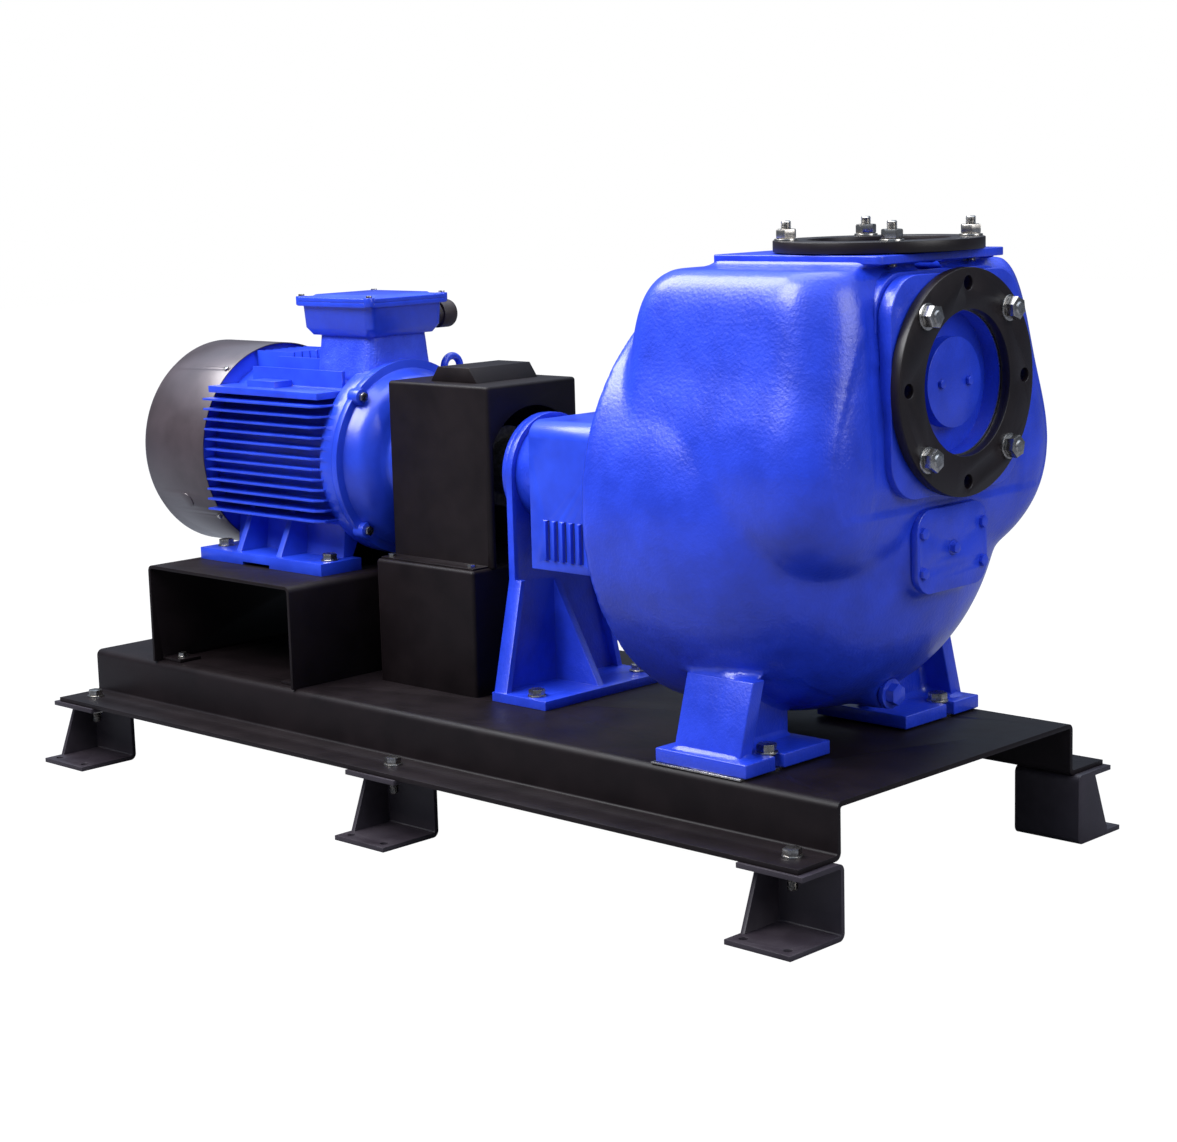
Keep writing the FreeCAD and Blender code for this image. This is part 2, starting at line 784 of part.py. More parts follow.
def make_motor_frame():
    """The finned stator housing with its feet and shoulders, turned and ribbed as one casting."""
    x0, x1 = cowl_front_x, shield_x
    ring_x = x1 - barrel_ring_width
    barrel = rod(barrel_r, x1 - x0, axis_point(x0))
    ring = rod(barrel_r + barrel_ring, barrel_ring_width, axis_point(ring_x))
    pieces = [barrel, ring, make_terminal_neck()] + make_side_fins() + make_top_fins() + make_shoulders()
    frame = joined(pieces + make_motor_foot(-1) + make_motor_foot(1))
    frame = frame.cut(rod(barrel_bore, x1 - x0, axis_point(x0)))
    taps = [V(x1, place.y, place.z) for place in shield_screw_places()]
    frame = drilled(frame, shield_screw_r + thread_gap, taps, X * -1, shield_screw_depth + 1.0)
    return drilled(frame, motor_bolt_r + bolt_gap, motor_bolt_places(), Z, motor_foot_thick)


def make_drive_end_shield():
    """The bowl-shaped shield that carries the drive-end bearing, with four screw lugs on its rim."""
    reach = shoulder_x - shield_x
    flange = shield_x + shield_flange
    seat_x1 = shoulder_x - shield_nose
    seat_x0 = seat_x1 - motor_bearing_width
    nose_x = shoulder_x - 4.0
    bowl_x = shield_x + 0.42 * reach
    shaft_hole = motor_shaft_r + 4.0
    outer = [(shield_x, barrel_r + barrel_ring), (flange, barrel_r + barrel_ring), (flange, barrel_r - 4.0),
             (shield_x + 0.24 * reach, barrel_r - 9.0), (bowl_x, barrel_r - 20.0),
             (shield_x + 0.54 * reach, barrel_r - 40.0), (shield_x + 0.64 * reach, barrel_r - 64.0),
             (shield_x + 0.80 * reach, 96.0), (nose_x, 88.0), (nose_x, shaft_hole)]
    inner = [(seat_x1, shaft_hole), (seat_x1, motor_bearing_r), (seat_x0, motor_bearing_r),
             (seat_x0, motor_bearing_r + 12.0), (bowl_x, barrel_r - 40.0),
             (shield_x + 8.0, barrel_bore - 8.0), (shield_x, barrel_bore - 8.0)]
    hollow = rod(barrel_r - 6.0, 2 * shield_lug_length, axis_point(shield_x))
    lugs = [rod(shield_lug_r, shield_lug_length, V(shield_x, place.y, place.z)).cut(hollow)
            for place in shield_screw_places()]
    shield = joined([turned(outer + inner)] + lugs)
    return drilled(shield, shield_screw_r + bolt_gap, shield_screw_places(), X * -1, shield_lug_length)


def make_rear_shield():
    """The flat shield behind the fan that carries the rear bearing."""
    x1 = cowl_front_x
    back = x1 - rear_shield_thick
    rim = cowl_r - cowl_sheet - seat_gap
    hub = motor_bearing_r + 14.0
    seat_x1 = x1 - rear_seat_inset
    seat_x0 = seat_x1 - motor_bearing_width
    nose_x = seat_x0 - 6.0
    shaft_hole = motor_bearing_bore + 4.0
    shield = turned([(x1, barrel_bore - 8.0), (x1, barrel_r + 4.0), (x1 - 6.0, rim), (back, rim), (back, hub),
                     (nose_x, hub), (nose_x, shaft_hole), (seat_x0, shaft_hole), (seat_x0, motor_bearing_r),
                     (seat_x1, motor_bearing_r), (seat_x1, hub)])
    return shield.cut(cowl_screw_holes())


def make_fan_cowl():
    """The pressed cowl over the fan, with a slotted grille in its back and a plugged hole in its side."""
    x0, x1 = cowl_back_x, cowl_front_x
    bend_x, bend_drop = 0.3 * cowl_round, 0.35 * cowl_round
    inside = x0 + cowl_sheet
    cowl = turned([(x1, cowl_r - cowl_sheet), (x1, cowl_r), (x0 + cowl_round, cowl_r),
                   (x0 + bend_x, cowl_r - bend_drop), (x0, cowl_r - cowl_round), (x0, 0), (inside, 0),
                   (inside, cowl_r - cowl_round - cowl_sheet),
                   (inside + bend_x, cowl_r - bend_drop - cowl_sheet),
                   (x0 + cowl_round, cowl_r - cowl_sheet)])
    half = cowl_spoke / 2
    spokes = [box(x0 - 1, x0 + 4, -cowl_r, cowl_r, axis_z - half, axis_z + half),
              box(x0 - 1, x0 + 4, -half, half, axis_z - cowl_r, axis_z + cowl_r)]
    slots = [tube(inner + cowl_slot_width, inner, 4.0, axis_point(x0 - 1.0)).cut(spokes)
             for inner in cowl_slot_starts]
    angle = math.radians(cowl_plug_angle)
    outward = V(0, math.cos(angle), math.sin(angle))
    plug = rod(cowl_plug_r, cowl_sheet + cowl_plug_rise,
               axis_point(x0 + cowl_plug_back) + outward * (cowl_r - cowl_sheet), outward)
    return cowl.fuse(plug).cut(slots + cowl_screw_holes())


def cowl_screw_places():
    """The cowl's screws round its front edge, each as its place and outward direction."""
    for y, z in ring_places(4, 1.0, 38.0):
        outward = V(0, y, z)
        yield axis_point(cowl_front_x - cowl_screw_inset) + outward * (cowl_r + 0.1), outward


def cowl_screw_holes():
    """The holes for the cowl's screws, through the cowl and into the rear shield."""
    return [rod(cowl_screw_r + thread_gap, cowl_screw_grip + 4.0, face, outward * -1)
            for face, outward in cowl_screw_places()]


def make_motor_screws():
    """The screws of the cowl, of the drive-end shield and of the terminal box's lid."""
    screws = [screw(cowl_screw_r, cowl_screw_grip, face, outward) for face, outward in cowl_screw_places()]
    screws += [screw(shield_screw_r, shield_lug_length + shield_screw_depth, place, X)
               for place in shield_screw_places()]
    return screws + make_lid_screws()


def motor_bearing_starts():
    """Where the two motor bearings begin along the shaft."""
    return [shoulder_x - shield_nose - motor_bearing_width,
            cowl_front_x - rear_seat_inset - motor_bearing_width]


def bearing(outer_r, bore_r, width, x):
    """A roller bearing: outer ring, inner ring and rollers, as (fixed, turning) solids."""
    middle = (outer_r + bore_r) / 2
    half = 0.26 * (outer_r - bore_r)
    fixed = [tube(outer_r, middle + half, width, axis_point(x))]
    turning = [tube(middle - half, bore_r, width, axis_point(x))]
    roller = half - seat_gap
    for y, z in ring_places(roller_count, middle):
        turning.append(rod(roller, 0.7 * width, V(x + 0.15 * width, y, axis_z + z)))
    return fixed, turning


def make_motor_shaft():
    """The motor's stepped shaft, from the fan to the coupling."""
    drive, rear = motor_bearing_starts()
    core = stator_x()[0]
    tail = cowl_back_x + motor_tail_gap
    rear_end, core_end = rear + motor_bearing_width, core + stator_length
    waist = motor_core_r - 4.0
    return turned([(tail, 0), (tail, fan_bore), (rear, fan_bore), (rear, motor_bearing_bore),
                   (rear_end, motor_bearing_bore), (rear_end, waist), (core, waist), (core, motor_core_r),
                   (core_end, motor_core_r), (core_end, waist), (drive, waist), (drive, motor_bearing_bore),
                   (shoulder_x, motor_bearing_bore), (shoulder_x, motor_shaft_r),
                   (motor_end_x, motor_shaft_r), (motor_end_x, 0)])


def stator_x():
    """The two ends of the stator's stack."""
    middle = (cowl_front_x + shield_x) / 2
    return middle - stator_length / 2, middle + stator_length / 2


def make_windings():
    """The two winding heads at the stator's ends."""
    solids = []
    for x, step in ((stator_x()[0], -1), (stator_x()[1], 1)):
        solids.append(turned([(x, 112.0), (x + step * 8, 104.0), (x + step * 34, 104.0),
                              (x + step * 42, 116.0), (x + step * 34, 132.0), (x, 136.0)]))
    return solids


def make_cooling_fan():
    """The radial fan: a hub, a backing disc and straight blades."""
    x1 = cowl_front_x - fan_front_gap
    hub = tube(fan_hub_r, fan_bore, fan_hub_length, axis_point(x1 - fan_hub_length))
    disc = tube(fan_r - 26.0, fan_bore, fan_sheet, axis_point(x1 - 10.0))
    half = fan_sheet / 2
    root = axis_z + fan_hub_r - 4.0
    tip = axis_z + fan_r
    outline = [V(x1 - 56.0, -half, root), V(x1 - 56.0, -half, tip - 18.0), V(x1 - 44.0, -half, tip),
               V(x1 - 8.0, -half, tip), V(x1 - 8.0, -half, root)]
    blades = []
    for number in range(fan_blades):
        blade = prism(outline, V(0, fan_sheet, 0))
        blade.rotate(axis_point(0), X, number * 360.0 / fan_blades)
        blades.append(blade)
    bore = rod(fan_bore, 2 * fan_hub_length, axis_point(x1 - 1.5 * fan_hub_length))
    return joined([hub, disc] + blades).cut(bore)


def box_centre():
    """The terminal box's middle, at the level of its base."""
    return V(shield_x - box_centre_back, 0, axis_z + box_base_z)


def make_terminal_neck():
    """The rough cast neck between the motor's barrel and its terminal box."""
    centre = box_centre()
    low = axis_z + barrel_r * 0.6
    foot = V(centre.x, 0, low)
    lower = rounded_wire(foot, X, Y, neck_length / 2 - 7.0, neck_width / 2 + 12.0, 30.0)
    upper = rounded_wire(centre, X, Y, neck_length / 2 - 8.0, neck_width / 2 - 6.0, 24.0)
    neck = Part.makeLoft([lower, upper], True, True)
    return neck


def make_terminal_box():
    """The terminal box: a tapered open-topped casting with an entry in its far wall."""
    base = box_centre()
    rim = base + Z * box_height
    half_a, half_b = box_length / 2, box_width / 2
    outer = Part.makeLoft([rounded_wire(base, X, Y, half_a - 12.0, half_b - 12.0, box_corner),
                           rounded_wire(base + Z * 14.0, X, Y, half_a - 3.0, half_b - 3.0, box_corner),
                           rounded_wire(rim, X, Y, half_a, half_b, box_corner)], True, True)
    lip = rounded_block(rim - Z * lid_plate, X, Y, half_a + lid_margin, half_b + lid_margin, lid_corner,
                        Z * lid_plate)
    inset = 2.2 * box_wall
    inner = rounded_block(base + Z * box_wall, X, Y, half_a - inset, half_b - inset, box_corner - 4.0,
                          Z * box_height)
    entry = rod(gland_r - 8.0, 40.0, gland_place() - Y * 30.0, Y)
    return outer.fuse(lip).removeSplitter().cut([inner, entry])


def make_terminal_lid():
    """The terminal box's lid, with a raised middle."""
    face = box_centre() + Z * box_height
    top = face + Z * lid_plate
    half_a, half_b = box_length / 2 + lid_margin, box_width / 2 + lid_margin
    plate = rounded_block(face, X, Y, half_a, half_b, lid_corner, Z * lid_plate)
    rise = Part.makeLoft([rounded_wire(top, X, Y, half_a - 20.0, half_b - 20.0, lid_corner - 4.0),
                          rounded_wire(face + Z * lid_height, X, Y, half_a - 26.0, half_b - 26.0,
                                       lid_corner - 6.0)], True, True)
    return plate.fuse(rise).removeSplitter()


def make_lid_screws():
    """The four corner screws of the terminal box's lid."""
    face = box_centre() + Z * (box_height + lid_plate)
    reach_a, reach_b = box_length / 2 - 3.0, box_width / 2 - 3.0
    return [hexagon(lid_screw_flats, lid_screw_head, face + V(sa * reach_a, sb * reach_b, 0), Z)
            for sa in (-1, 1) for sb in (-1, 1)]


def gland_place():
    """The middle of the cable entry, on the terminal box's far side."""
    return box_centre() + V(gland_forward, box_width / 2, gland_rise)


def make_gland():
    """The blanking gland in the terminal box's cable entry."""
    start = gland_place()
    body_length = gland_length - gland_collar
    collar = rod(gland_r - gland_neck, gland_collar, start + Y * 0.5, Y)
    body = rod(gland_r, body_length, start + Y * gland_collar, Y)
    rim = [edge for edge in body.Edges if edge.BoundBox.YMin > start.y + gland_length - 1.0]
    body = body.makeFillet(gland_round, rim)
    spigot = rod(gland_r - 8.0 - thread_gap, 18.0, start - Y * 17.5, Y)
    return joined([collar, body, spigot])


def make_lifting_eye():
    """The eye bolt on the motor's shoulder."""
    angle = math.radians(eye_angle)
    outward = V(0, math.sin(angle), math.cos(angle))
    seat = axis_point(shield_x - 16.0) + outward * (barrel_r + 12.0 + seat_gap)
    collar = rod(14.0, 8.0, seat, outward)
    eye = Part.makeTorus(eye_r, eye_wire_r, seat + outward * (8.0 + eye_r), X)
    return joined([collar, eye, rod(8.0, 8.0, seat + outward * 4.0, outward)])


def make_hub(face_x, outward, bore_r, first_angle):
    """A jaw coupling hub: boss, flange and jaws that reach past its face."""
    step = 1 if outward > 0 else -1
    flange = tube(coupling_r, bore_r, 34.0, axis_point(face_x if step < 0 else face_x - 34.0))
    neck = tube(hub_neck_r, bore_r, hub_length, axis_point(face_x if step < 0 else face_x - hub_length))
    jaws = []
    for number in range(jaw_count):
        start = math.radians(first_angle + number * 360.0 / jaw_count - jaw_angle / 2)
        reach = coupling_r * 1.4
        wedge = [V(face_x, reach * math.cos(start + math.radians(a)),
                   axis_z + reach * math.sin(start + math.radians(a))) for a in (0, jaw_angle / 2, jaw_angle)]
        wedge = prism([axis_point(face_x)] + wedge, X * (step * jaw_length))
        ring_x = face_x if step > 0 else face_x - jaw_length
        jaws.append(wedge.common(tube(coupling_r, spider_ring_r + 1.0, jaw_length, axis_point(ring_x))))
    return joined([flange, neck] + jaws)


def make_spider():
    """The rubber star between the coupling's jaws."""
    x0 = motor_end_x + 0.5
    width = shaft_gap - 1.0
    leg_count = 2 * jaw_count
    free = math.radians(360.0 / leg_count - jaw_angle - 1.0)
    root, tip = spider_ring_r - 2.0, coupling_r - 3.0
    wide, narrow = tip * math.tan(free / 2), spider_ring_r * math.tan(free / 2)
    outline = [V(x0, -narrow, axis_z + root), V(x0, -wide, axis_z + tip),
               V(x0, wide, axis_z + tip), V(x0, narrow, axis_z + root)]
    legs = []
    for number in range(leg_count):
        leg = prism(outline, X * width)
        leg.rotate(axis_point(0), X, (number + 0.5) * 360.0 / leg_count - 90.0)
        legs.append(leg)
    return joined([tube(spider_ring_r, spider_bore, width, axis_point(x0))] + legs)


def folded_box(length, width, height, sheet, bend):
    """A sheet box open below, its four upper edges and corners rounded, standing on z = 0."""
    def shell(inset):
        top = height - inset
        solid = rounded_block(V(0, 0, 0), X, Y, length / 2 - inset, width / 2 - inset, bend - inset, Z * top)
        edges = [edge for edge in solid.Edges if abs(edge.BoundBox.ZMin - top) < 0.01]
        return solid.makeFillet((bend - inset) * 0.9, edges)
    return shell(0).cut(shell(sheet))


def make_guard_stand():
    """The sheet stand under the coupling guard, with inward lugs on the deck."""
    stand = folded_box(stand_length, stand_width, stand_height, guard_sheet, guard_bend)
    stand.translate(V(stand_x0 + stand_length / 2, 0, deck_z))
    half = stand_lug_length / 2
    wall = stand_width / 2 - guard_sheet
    lugs = []
    for x in (stand_x0 + stand_lug_inset, stand_x0 + stand_length - stand_lug_inset):
        for side in (-1, 1):
            near, far = sorted((side * wall, side * (stand_width / 2 - stand_lug_width)))
            lugs.append(box(x - half, x + half, near, far, deck_z, deck_z + stand_lug_thick))
    places = [place - Z * guard_sheet for place in guard_screw_places()]
    return drilled(joined([stand] + lugs), guard_screw_r + thread_gap, places, Z, guard_sheet)


def guard_screw_places():
    """The guard's screws, on the stand's top."""
    y = guard_width / 2 + 0.6 * guard_lip
    x1 = stand_x0 + stand_length - guard_screw_inset - 6.0
    return [V(x, side * y, stand_top) for x in (stand_x0 + guard_screw_inset, x1) for side in (-1, 1)]


def make_coupling_guard():
    """The sheet guard over the coupling: arched at both ends, with lips on the stand."""
    guard = folded_box(guard_length, guard_width, guard_height, guard_sheet, guard_bend)
    guard.translate(V(stand_x0 + guard_length / 2, 0, stand_top))
    half = guard_width / 2 - guard_edge
    x0 = stand_x0 - 20.0
    x1 = stand_x0 + guard_length + 20.0
    arch = rod(guard_arch_r, x1 - x0, axis_point(x0))
    arch = arch.common(box(x0, x1, -half, half, 0, 2 * axis_z))
    leg = box(x0, x1, -half, half, stand_top - 1.0, axis_z)
    lips = []
    for side in (-1, 1):
        near, far = sorted((side * (guard_width / 2 - 1.0), side * (guard_width / 2 + guard_lip)))
        lips.append(box(stand_x0 + guard_bend, stand_x0 + stand_length - guard_bend, near, far,
                        stand_top, stand_top + guard_sheet))
    guard = joined([guard.cut(arch).cut(leg)] + lips)
    return drilled(guard, guard_screw_r + bolt_gap, guard_screw_places(), Z, guard_sheet)


def make_guard_cap():
    """The folded cap on top of the guard."""
    z = stand_top + guard_height
    x = stand_x0 + guard_length / 2 + cap_forward
    y = -cap_width / 2
    outline = [V(x - cap_base / 2, y, z), V(x - cap_top / 2, y, z + cap_rise),
               V(x + cap_top / 2, y, z + cap_rise), V(x + cap_base / 2, y, z)]
    return prism(outline, V(0, cap_width, 0))


def bearing_starts():
    """Where the two pump bearings begin along the shaft."""
    first = bearing_x + cap_flange_length + bearing_inset
    return [first, first + bearing_span]


def make_bearing_frame():
    """The cast bearing frame: housing, conical adapter and the flange that meets the seal plate."""
    x0 = bearing_x + cap_flange_length
    x1 = casing_x - seal_plate_thick
    flange_x = x1 - adapter_flange
    cone_x = adapter_cone_x
    outer = [(x0, 0), (x0, housing_r), (cone_x, housing_r), (flange_x, adapter_cone_r),
             (flange_x, adapter_r), (x1, adapter_r), (x1, 0)]
    first, second = bearing_starts()
    first_end, second_end = first + pump_bearing_width, second + pump_bearing_width
    lip_r = pump_bearing_r - bearing_lip
    shaft_hole = pump_journal_r + 4.0
    cone_bore = adapter_cone_r - adapter_wall
    bore = [(x0, 0), (x0, pump_bearing_r), (first_end, pump_bearing_r), (first_end, lip_r), (second, lip_r),
            (second, pump_bearing_r), (second_end, pump_bearing_r), (second_end, shaft_hole),
            (second_end + bearing_lip, shaft_hole), (cone_x + 24.0, housing_r - 16.0),
            (flange_x, cone_bore), (x1, cone_bore), (x1, 0)]
    frame = turned(outer).cut(turned(bore))
    holes = [V(flange_x, y, axis_z + z) for y, z in casing_bolt_places()]
    frame = drilled(frame, casing_bolt_r + bolt_gap, holes, X, adapter_flange)
    taps = [place + X * cap_flange_length for place in cap_screw_places()]
    return drilled(frame, cap_screw_r + thread_gap, taps, X, cap_screw_depth + 1.0)


def casing_bolt_places():
    """The bolts that hold the bearing frame and seal plate to the casing, as (y, z) from the shaft."""
    return list(ring_places(casing_bolt_count, casing_bolt_ring, 180.0 / casing_bolt_count))


def make_bearing_cap():
    """The bearing cap at the coupling end."""
    x0 = bearing_x
    x1 = x0 + cap_flange_length
    first = bearing_starts()[0]
    spigot = pump_bearing_r - 0.1
    shaft_hole = pump_shaft_r + 3.0
    cap = turned([(x0, shaft_hole), (x0, cap_flange_r - 14.0), (x0 + 6.0, cap_flange_r), (x1, cap_flange_r),
                  (x1, spigot), (first, spigot), (first, pump_journal_r + 20.0),
                  (x1 - 2.0, pump_journal_r + 12.0), (x1 - 2.0, shaft_hole)])
    return drilled(cap, cap_screw_r + thread_gap, cap_screw_places(), X, cap_flange_length)


def cap_screw_places():
    """The bearing cap's screws, on its outer face."""
    return [V(bearing_x, y, axis_z + z) for y, z in ring_places(6, cap_screw_ring, 30.0)]


def make_bearing_frame_screws():
    """The screws of the bearing cap and the bolts from the adapter's flange into the casing."""
    grip = cap_flange_length + cap_screw_depth
    screws = [screw(cap_screw_r, grip, place, X * -1) for place in cap_screw_places()]
    x = casing_x - seal_plate_thick - adapter_flange
    grip = adapter_flange + seal_plate_thick + casing_bolt_depth
    return screws + [screw(casing_bolt_r, grip, V(x, y, axis_z + z), X * -1) for y, z in casing_bolt_places()]


def make_louvres(x0, z0):
    """The cover's pressed louvres on both sides, as (hoods, slots)."""
    hoods, slots = [], []
    for number in range(louvre_count):
        x = x0 + louvre_start + number * louvre_pitch
        slot_x = x + louvre_width
        for side in (-1, 1):
            y = side * cover_half_width
            hood = [V(x, y, z0), V(slot_x, y, z0), V(slot_x, y + side * louvre_depth, z0)]
            hoods.append(prism(hood, V(0, 0, louvre_height)))
            near, far = sorted((y + side, y - side * 2 * cover_sheet))
            slots.append(box(slot_x, slot_x + louvre_slot, near, far, z0, z0 + louvre_height))
    return hoods, slots


def make_shaft_cover():
    """The louvred cover round the bearing frame, open below and along the shaft."""
    x0 = cover_x
    half, inner = cover_half_width, cover_half_width - cover_sheet
    high, low = axis_z + cover_top, axis_z - cover_bottom
    under, bend = high - cover_sheet, cover_corner - cover_sheet
    face = bent_profile([(half, low, 0), (half, high, cover_corner), (-half, high, cover_corner),
                         (-half, low, 0), (-inner, low, 0), (-inner, under, bend), (inner, under, bend),
                         (inner, low, 0)], cover_corner)
    face.translate(V(x0, 0, 0))
    hoods, slots = make_louvres(x0, low + louvre_rise)
    rails = []
    rail_x = x0 + cover_rail_start
    for side in (-1, 1):
        near, far = sorted((side * inner, side * (housing_r - 2.0)))
        rails.append(box(rail_x, rail_x + cover_rail_length, near, far, axis_z - 10.0, axis_z + 10.0))
    cover = joined([face.extrude(V(cover_length, 0, 0))] + hoods + rails).cut(slots)
    return cover.cut(rod(housing_r + seat_gap, 2 * cover_length, axis_point(x0 - 0.5 * cover_length)))


def make_pedestal():
    """The cast pedestal: a flared plate round the housing with rims, a foot and a middle gusset."""
    x0 = bearing_x + cap_flange_length
    plate_x = x0 + pedestal_plate
    neck = pedestal_neck
    low = pedestal_foot_half - pedestal_shoulder
    flare = axis_z - pedestal_flare_z
    foot_top = deck_z + pedestal_foot_thick
    outline = [V(x0, -low, foot_top), V(x0, -neck, flare), V(x0, -neck, axis_z),
               V(x0, neck, axis_z), V(x0, neck, flare), V(x0, low, foot_top)]
    plate = prism(outline, X * pedestal_plate).fuse(rod(neck, pedestal_plate, axis_point(x0)))
    foot = box(x0, x0 + pedestal_foot_length, -pedestal_foot_half, pedestal_foot_half, deck_z, foot_top)
    half = pedestal_gusset / 2
    gusset = prism([V(plate_x, -half, foot_top), V(x0 + pedestal_foot_length - 14.0, -half, foot_top),
                    V(plate_x, -half, flare - 10.0)], V(0, pedestal_gusset, 0))
    rims = [prism([V(x0, side * low, foot_top), V(x0, side * neck, flare),
                   V(x0, side * (neck - pedestal_rim), flare), V(x0, side * (low - pedestal_rim), foot_top)],
                  X * (pedestal_plate + pedestal_rim_depth)) for side in (-1, 1)]
    pedestal = joined([plate, foot, gusset] + rims)
    pedestal = pedestal.cut(rod(housing_r + running_gap, 60.0, axis_point(x0 - 5.0)))
    return drilled(pedestal, pedestal_bolt_r + bolt_gap, pedestal_bolt_places(), Z, pedestal_foot_thick)


def make_pump_shaft():
    """The pump's stepped shaft, from the coupling to the impeller."""
    first, second = bearing_starts()
    first_end, second_end = first + pump_bearing_width, second + pump_bearing_width
    collar = pump_journal_r + 6.0
    nose = casing_x + impeller_back_gap
    tip = nose + impeller_disc + impeller_hub_length
    return turned([(pump_end_x, 0), (pump_end_x, pump_shaft_r), (first, pump_shaft_r),
                   (first, pump_journal_r), (first_end, pump_journal_r), (first_end, collar),
                   (second, collar), (second, pump_journal_r), (second_end, pump_journal_r),
                   (nose, pump_journal_r), (nose, impeller_bore), (tip, impeller_bore), (tip, 0)])


def make_seal_plate():
    """The seal plate between the bearing frame and the casing."""
    x0, x1 = casing_x - seal_plate_thick, casing_x
    spigot_x = x1 + seal_plate_spigot
    spigot_r = casing_opening_r - seat_gap
    plate = turned([(x0, seal_seat_r), (x0, adapter_r), (x1, adapter_r), (x1, spigot_r), (spigot_x, spigot_r),
                    (spigot_x, seal_seat_r + 6.0), (x1 - 8.0, seal_seat_r)])
    holes = [V(x0, y, axis_z + z) for y, z in casing_bolt_places()]
    return drilled(plate, casing_bolt_r + bolt_gap, holes, X, seal_plate_thick)


def make_seal_seat():
    """The seal's stationary seat, pressed in the seal plate."""
    return tube(seal_seat_r, pump_journal_r + 3.0, seal_seat_width, axis_point(casing_x - seal_plate_thick))


def make_seal_ring():
    """The seal's turning ring on the shaft."""
    x0 = casing_x - seal_plate_thick + seal_seat_width
    length = seal_plate_thick - seal_seat_width + impeller_back_gap - 1.0
    return tube(seal_ring_r, pump_journal_r, length, axis_point(x0 + 0.2))


def vane_outline():
    """The swept vane's outline across the shaft, as an even band from hub to rim."""
    steps = 7
    root, tip = impeller_hub_r - vane_root, impeller_r - vane_tip_gap
    x = casing_x + impeller_back_gap + impeller_disc - 1.0
    near, far = [], []
    for number in range(steps + 1):
        share = number / steps
        radius = root + (tip - root) * share
        middle = math.radians(vane_sweep * share)
        half = 0.5 * impeller_vane_thick / radius
        near.append(V(x, radius * math.cos(middle - half), axis_z + radius * math.sin(middle - half)))
        far.append(V(x, radius * math.cos(middle + half), axis_z + radius * math.sin(middle + half)))
    return near + far[::-1]


def make_impeller():
    """The trash impeller: a disc with a hub and swept vanes."""
    x0 = casing_x + impeller_back_gap
    x1 = x0 + impeller_disc
    tip = x1 + impeller_hub_length
    disc = tube(impeller_r, impeller_bore, impeller_disc, axis_point(x0))
    hub = turned([(x1, impeller_bore), (x1, impeller_hub_r), (tip, impeller_hub_r - impeller_hub_taper),
                  (tip, impeller_bore)])
    vanes = []
    for number in range(impeller_vanes):
        vane = prism(vane_outline(), X * (impeller_vane + 1.0))
        vane.rotate(axis_point(0), X, number * 360.0 / impeller_vanes)
        vanes.append(vane)
    return joined([disc, hub] + vanes).cut(rod(impeller_bore + running_gap, 60.0, axis_point(x0)))


def make_impeller_nut():
    """The washer and bolt head that hold the impeller."""
    x0 = casing_x + impeller_back_gap + impeller_disc + impeller_hub_length
    washer = rod(impeller_washer_r, impeller_washer, axis_point(x0))
    head = hexagon(impeller_nut_flats, impeller_nut_height, axis_point(x0 + impeller_washer), X)
    return joined([washer, head])


def wear_face_x():
    """The wear plate's face towards the impeller."""
    return casing_x + impeller_back_gap + impeller_disc + impeller_vane + wear_gap


def make_wear_plate():
    """The wear plate in front of the impeller's vanes."""
    return tube(impeller_r + 12.0, eye_bore, wear_plate_thick, axis_point(wear_face_x()))


def chamber(inset):
    """The upper chamber as a loft of rounded rectangles, or its cavity when inset is a wall."""
    x0, x1 = casing_x, suction_x - 32.0
    top = axis_z + chamber_top
    half = chamber_half
    rows = [(top, x0 + 88, x1 - 45, half - 72, 60, 50), (top - 14, x0 + 60, x1 - 30, half - 52, 80, 60),
            (top - 42, x0 + 42, x1 - 18, half - 38, 92, 62),
            (axis_z + 150, x0 + 22, x1 + 2, half + 4, 100, 70),
            (axis_z + 50, x0 + 8, x1 + 4, half + 14, 100, 80), (axis_z - 30, x0, x1 - 12, half - 10, 100, 90),
            (axis_z - 100, x0, x1 - 60, half - 80, 90, 80)]
    wires = []
    for z, left, right, reach, front, back in rows:
        if z == top:
            z -= inset
        if z == rows[-1][0]:
            z += inset
        centre = V((left + right) / 2, 0, z)
        wires.append(rounded_wire(centre, X, Y, (right - left) / 2 - inset, reach - inset,
                                  front - 0.5 * inset, back - 0.5 * inset))
    return Part.makeLoft(wires, True, False)


def drum(inset):
    """The lower drum, turned about the shaft with a full round nose."""
    x0 = casing_x + inset
    x1 = casing_x + drum_straight
    nose, radius = drum_nose - inset, drum_r - inset
    steps = 6
    points = []
    for number in range(steps + 1):
        angle = math.radians(90.0 * number / steps)
        along = nose * math.sin(angle) ** (2 / drum_power)
        out = radius * math.cos(angle) ** (2 / drum_power) if number < steps else 0.0
        points.append(V(x1 + along, 0, axis_z + out))
    curve = Part.BSplineCurve()
    curve.interpolate(points, InitialTangent=X, FinalTangent=Z * -1)
    edges = [curve.toShape(), Part.LineSegment(V(x1 + nose, 0, axis_z), V(x0, 0, axis_z)).toShape(),
             Part.LineSegment(V(x0, 0, axis_z), V(x0, 0, axis_z + radius)).toShape(),
             Part.LineSegment(V(x0, 0, axis_z + radius), V(x1, 0, axis_z + radius)).toShape()]
    return Part.Face(Part.Wire(Part.__sortEdges__(edges))).revolve(axis_point(0), X, 360)


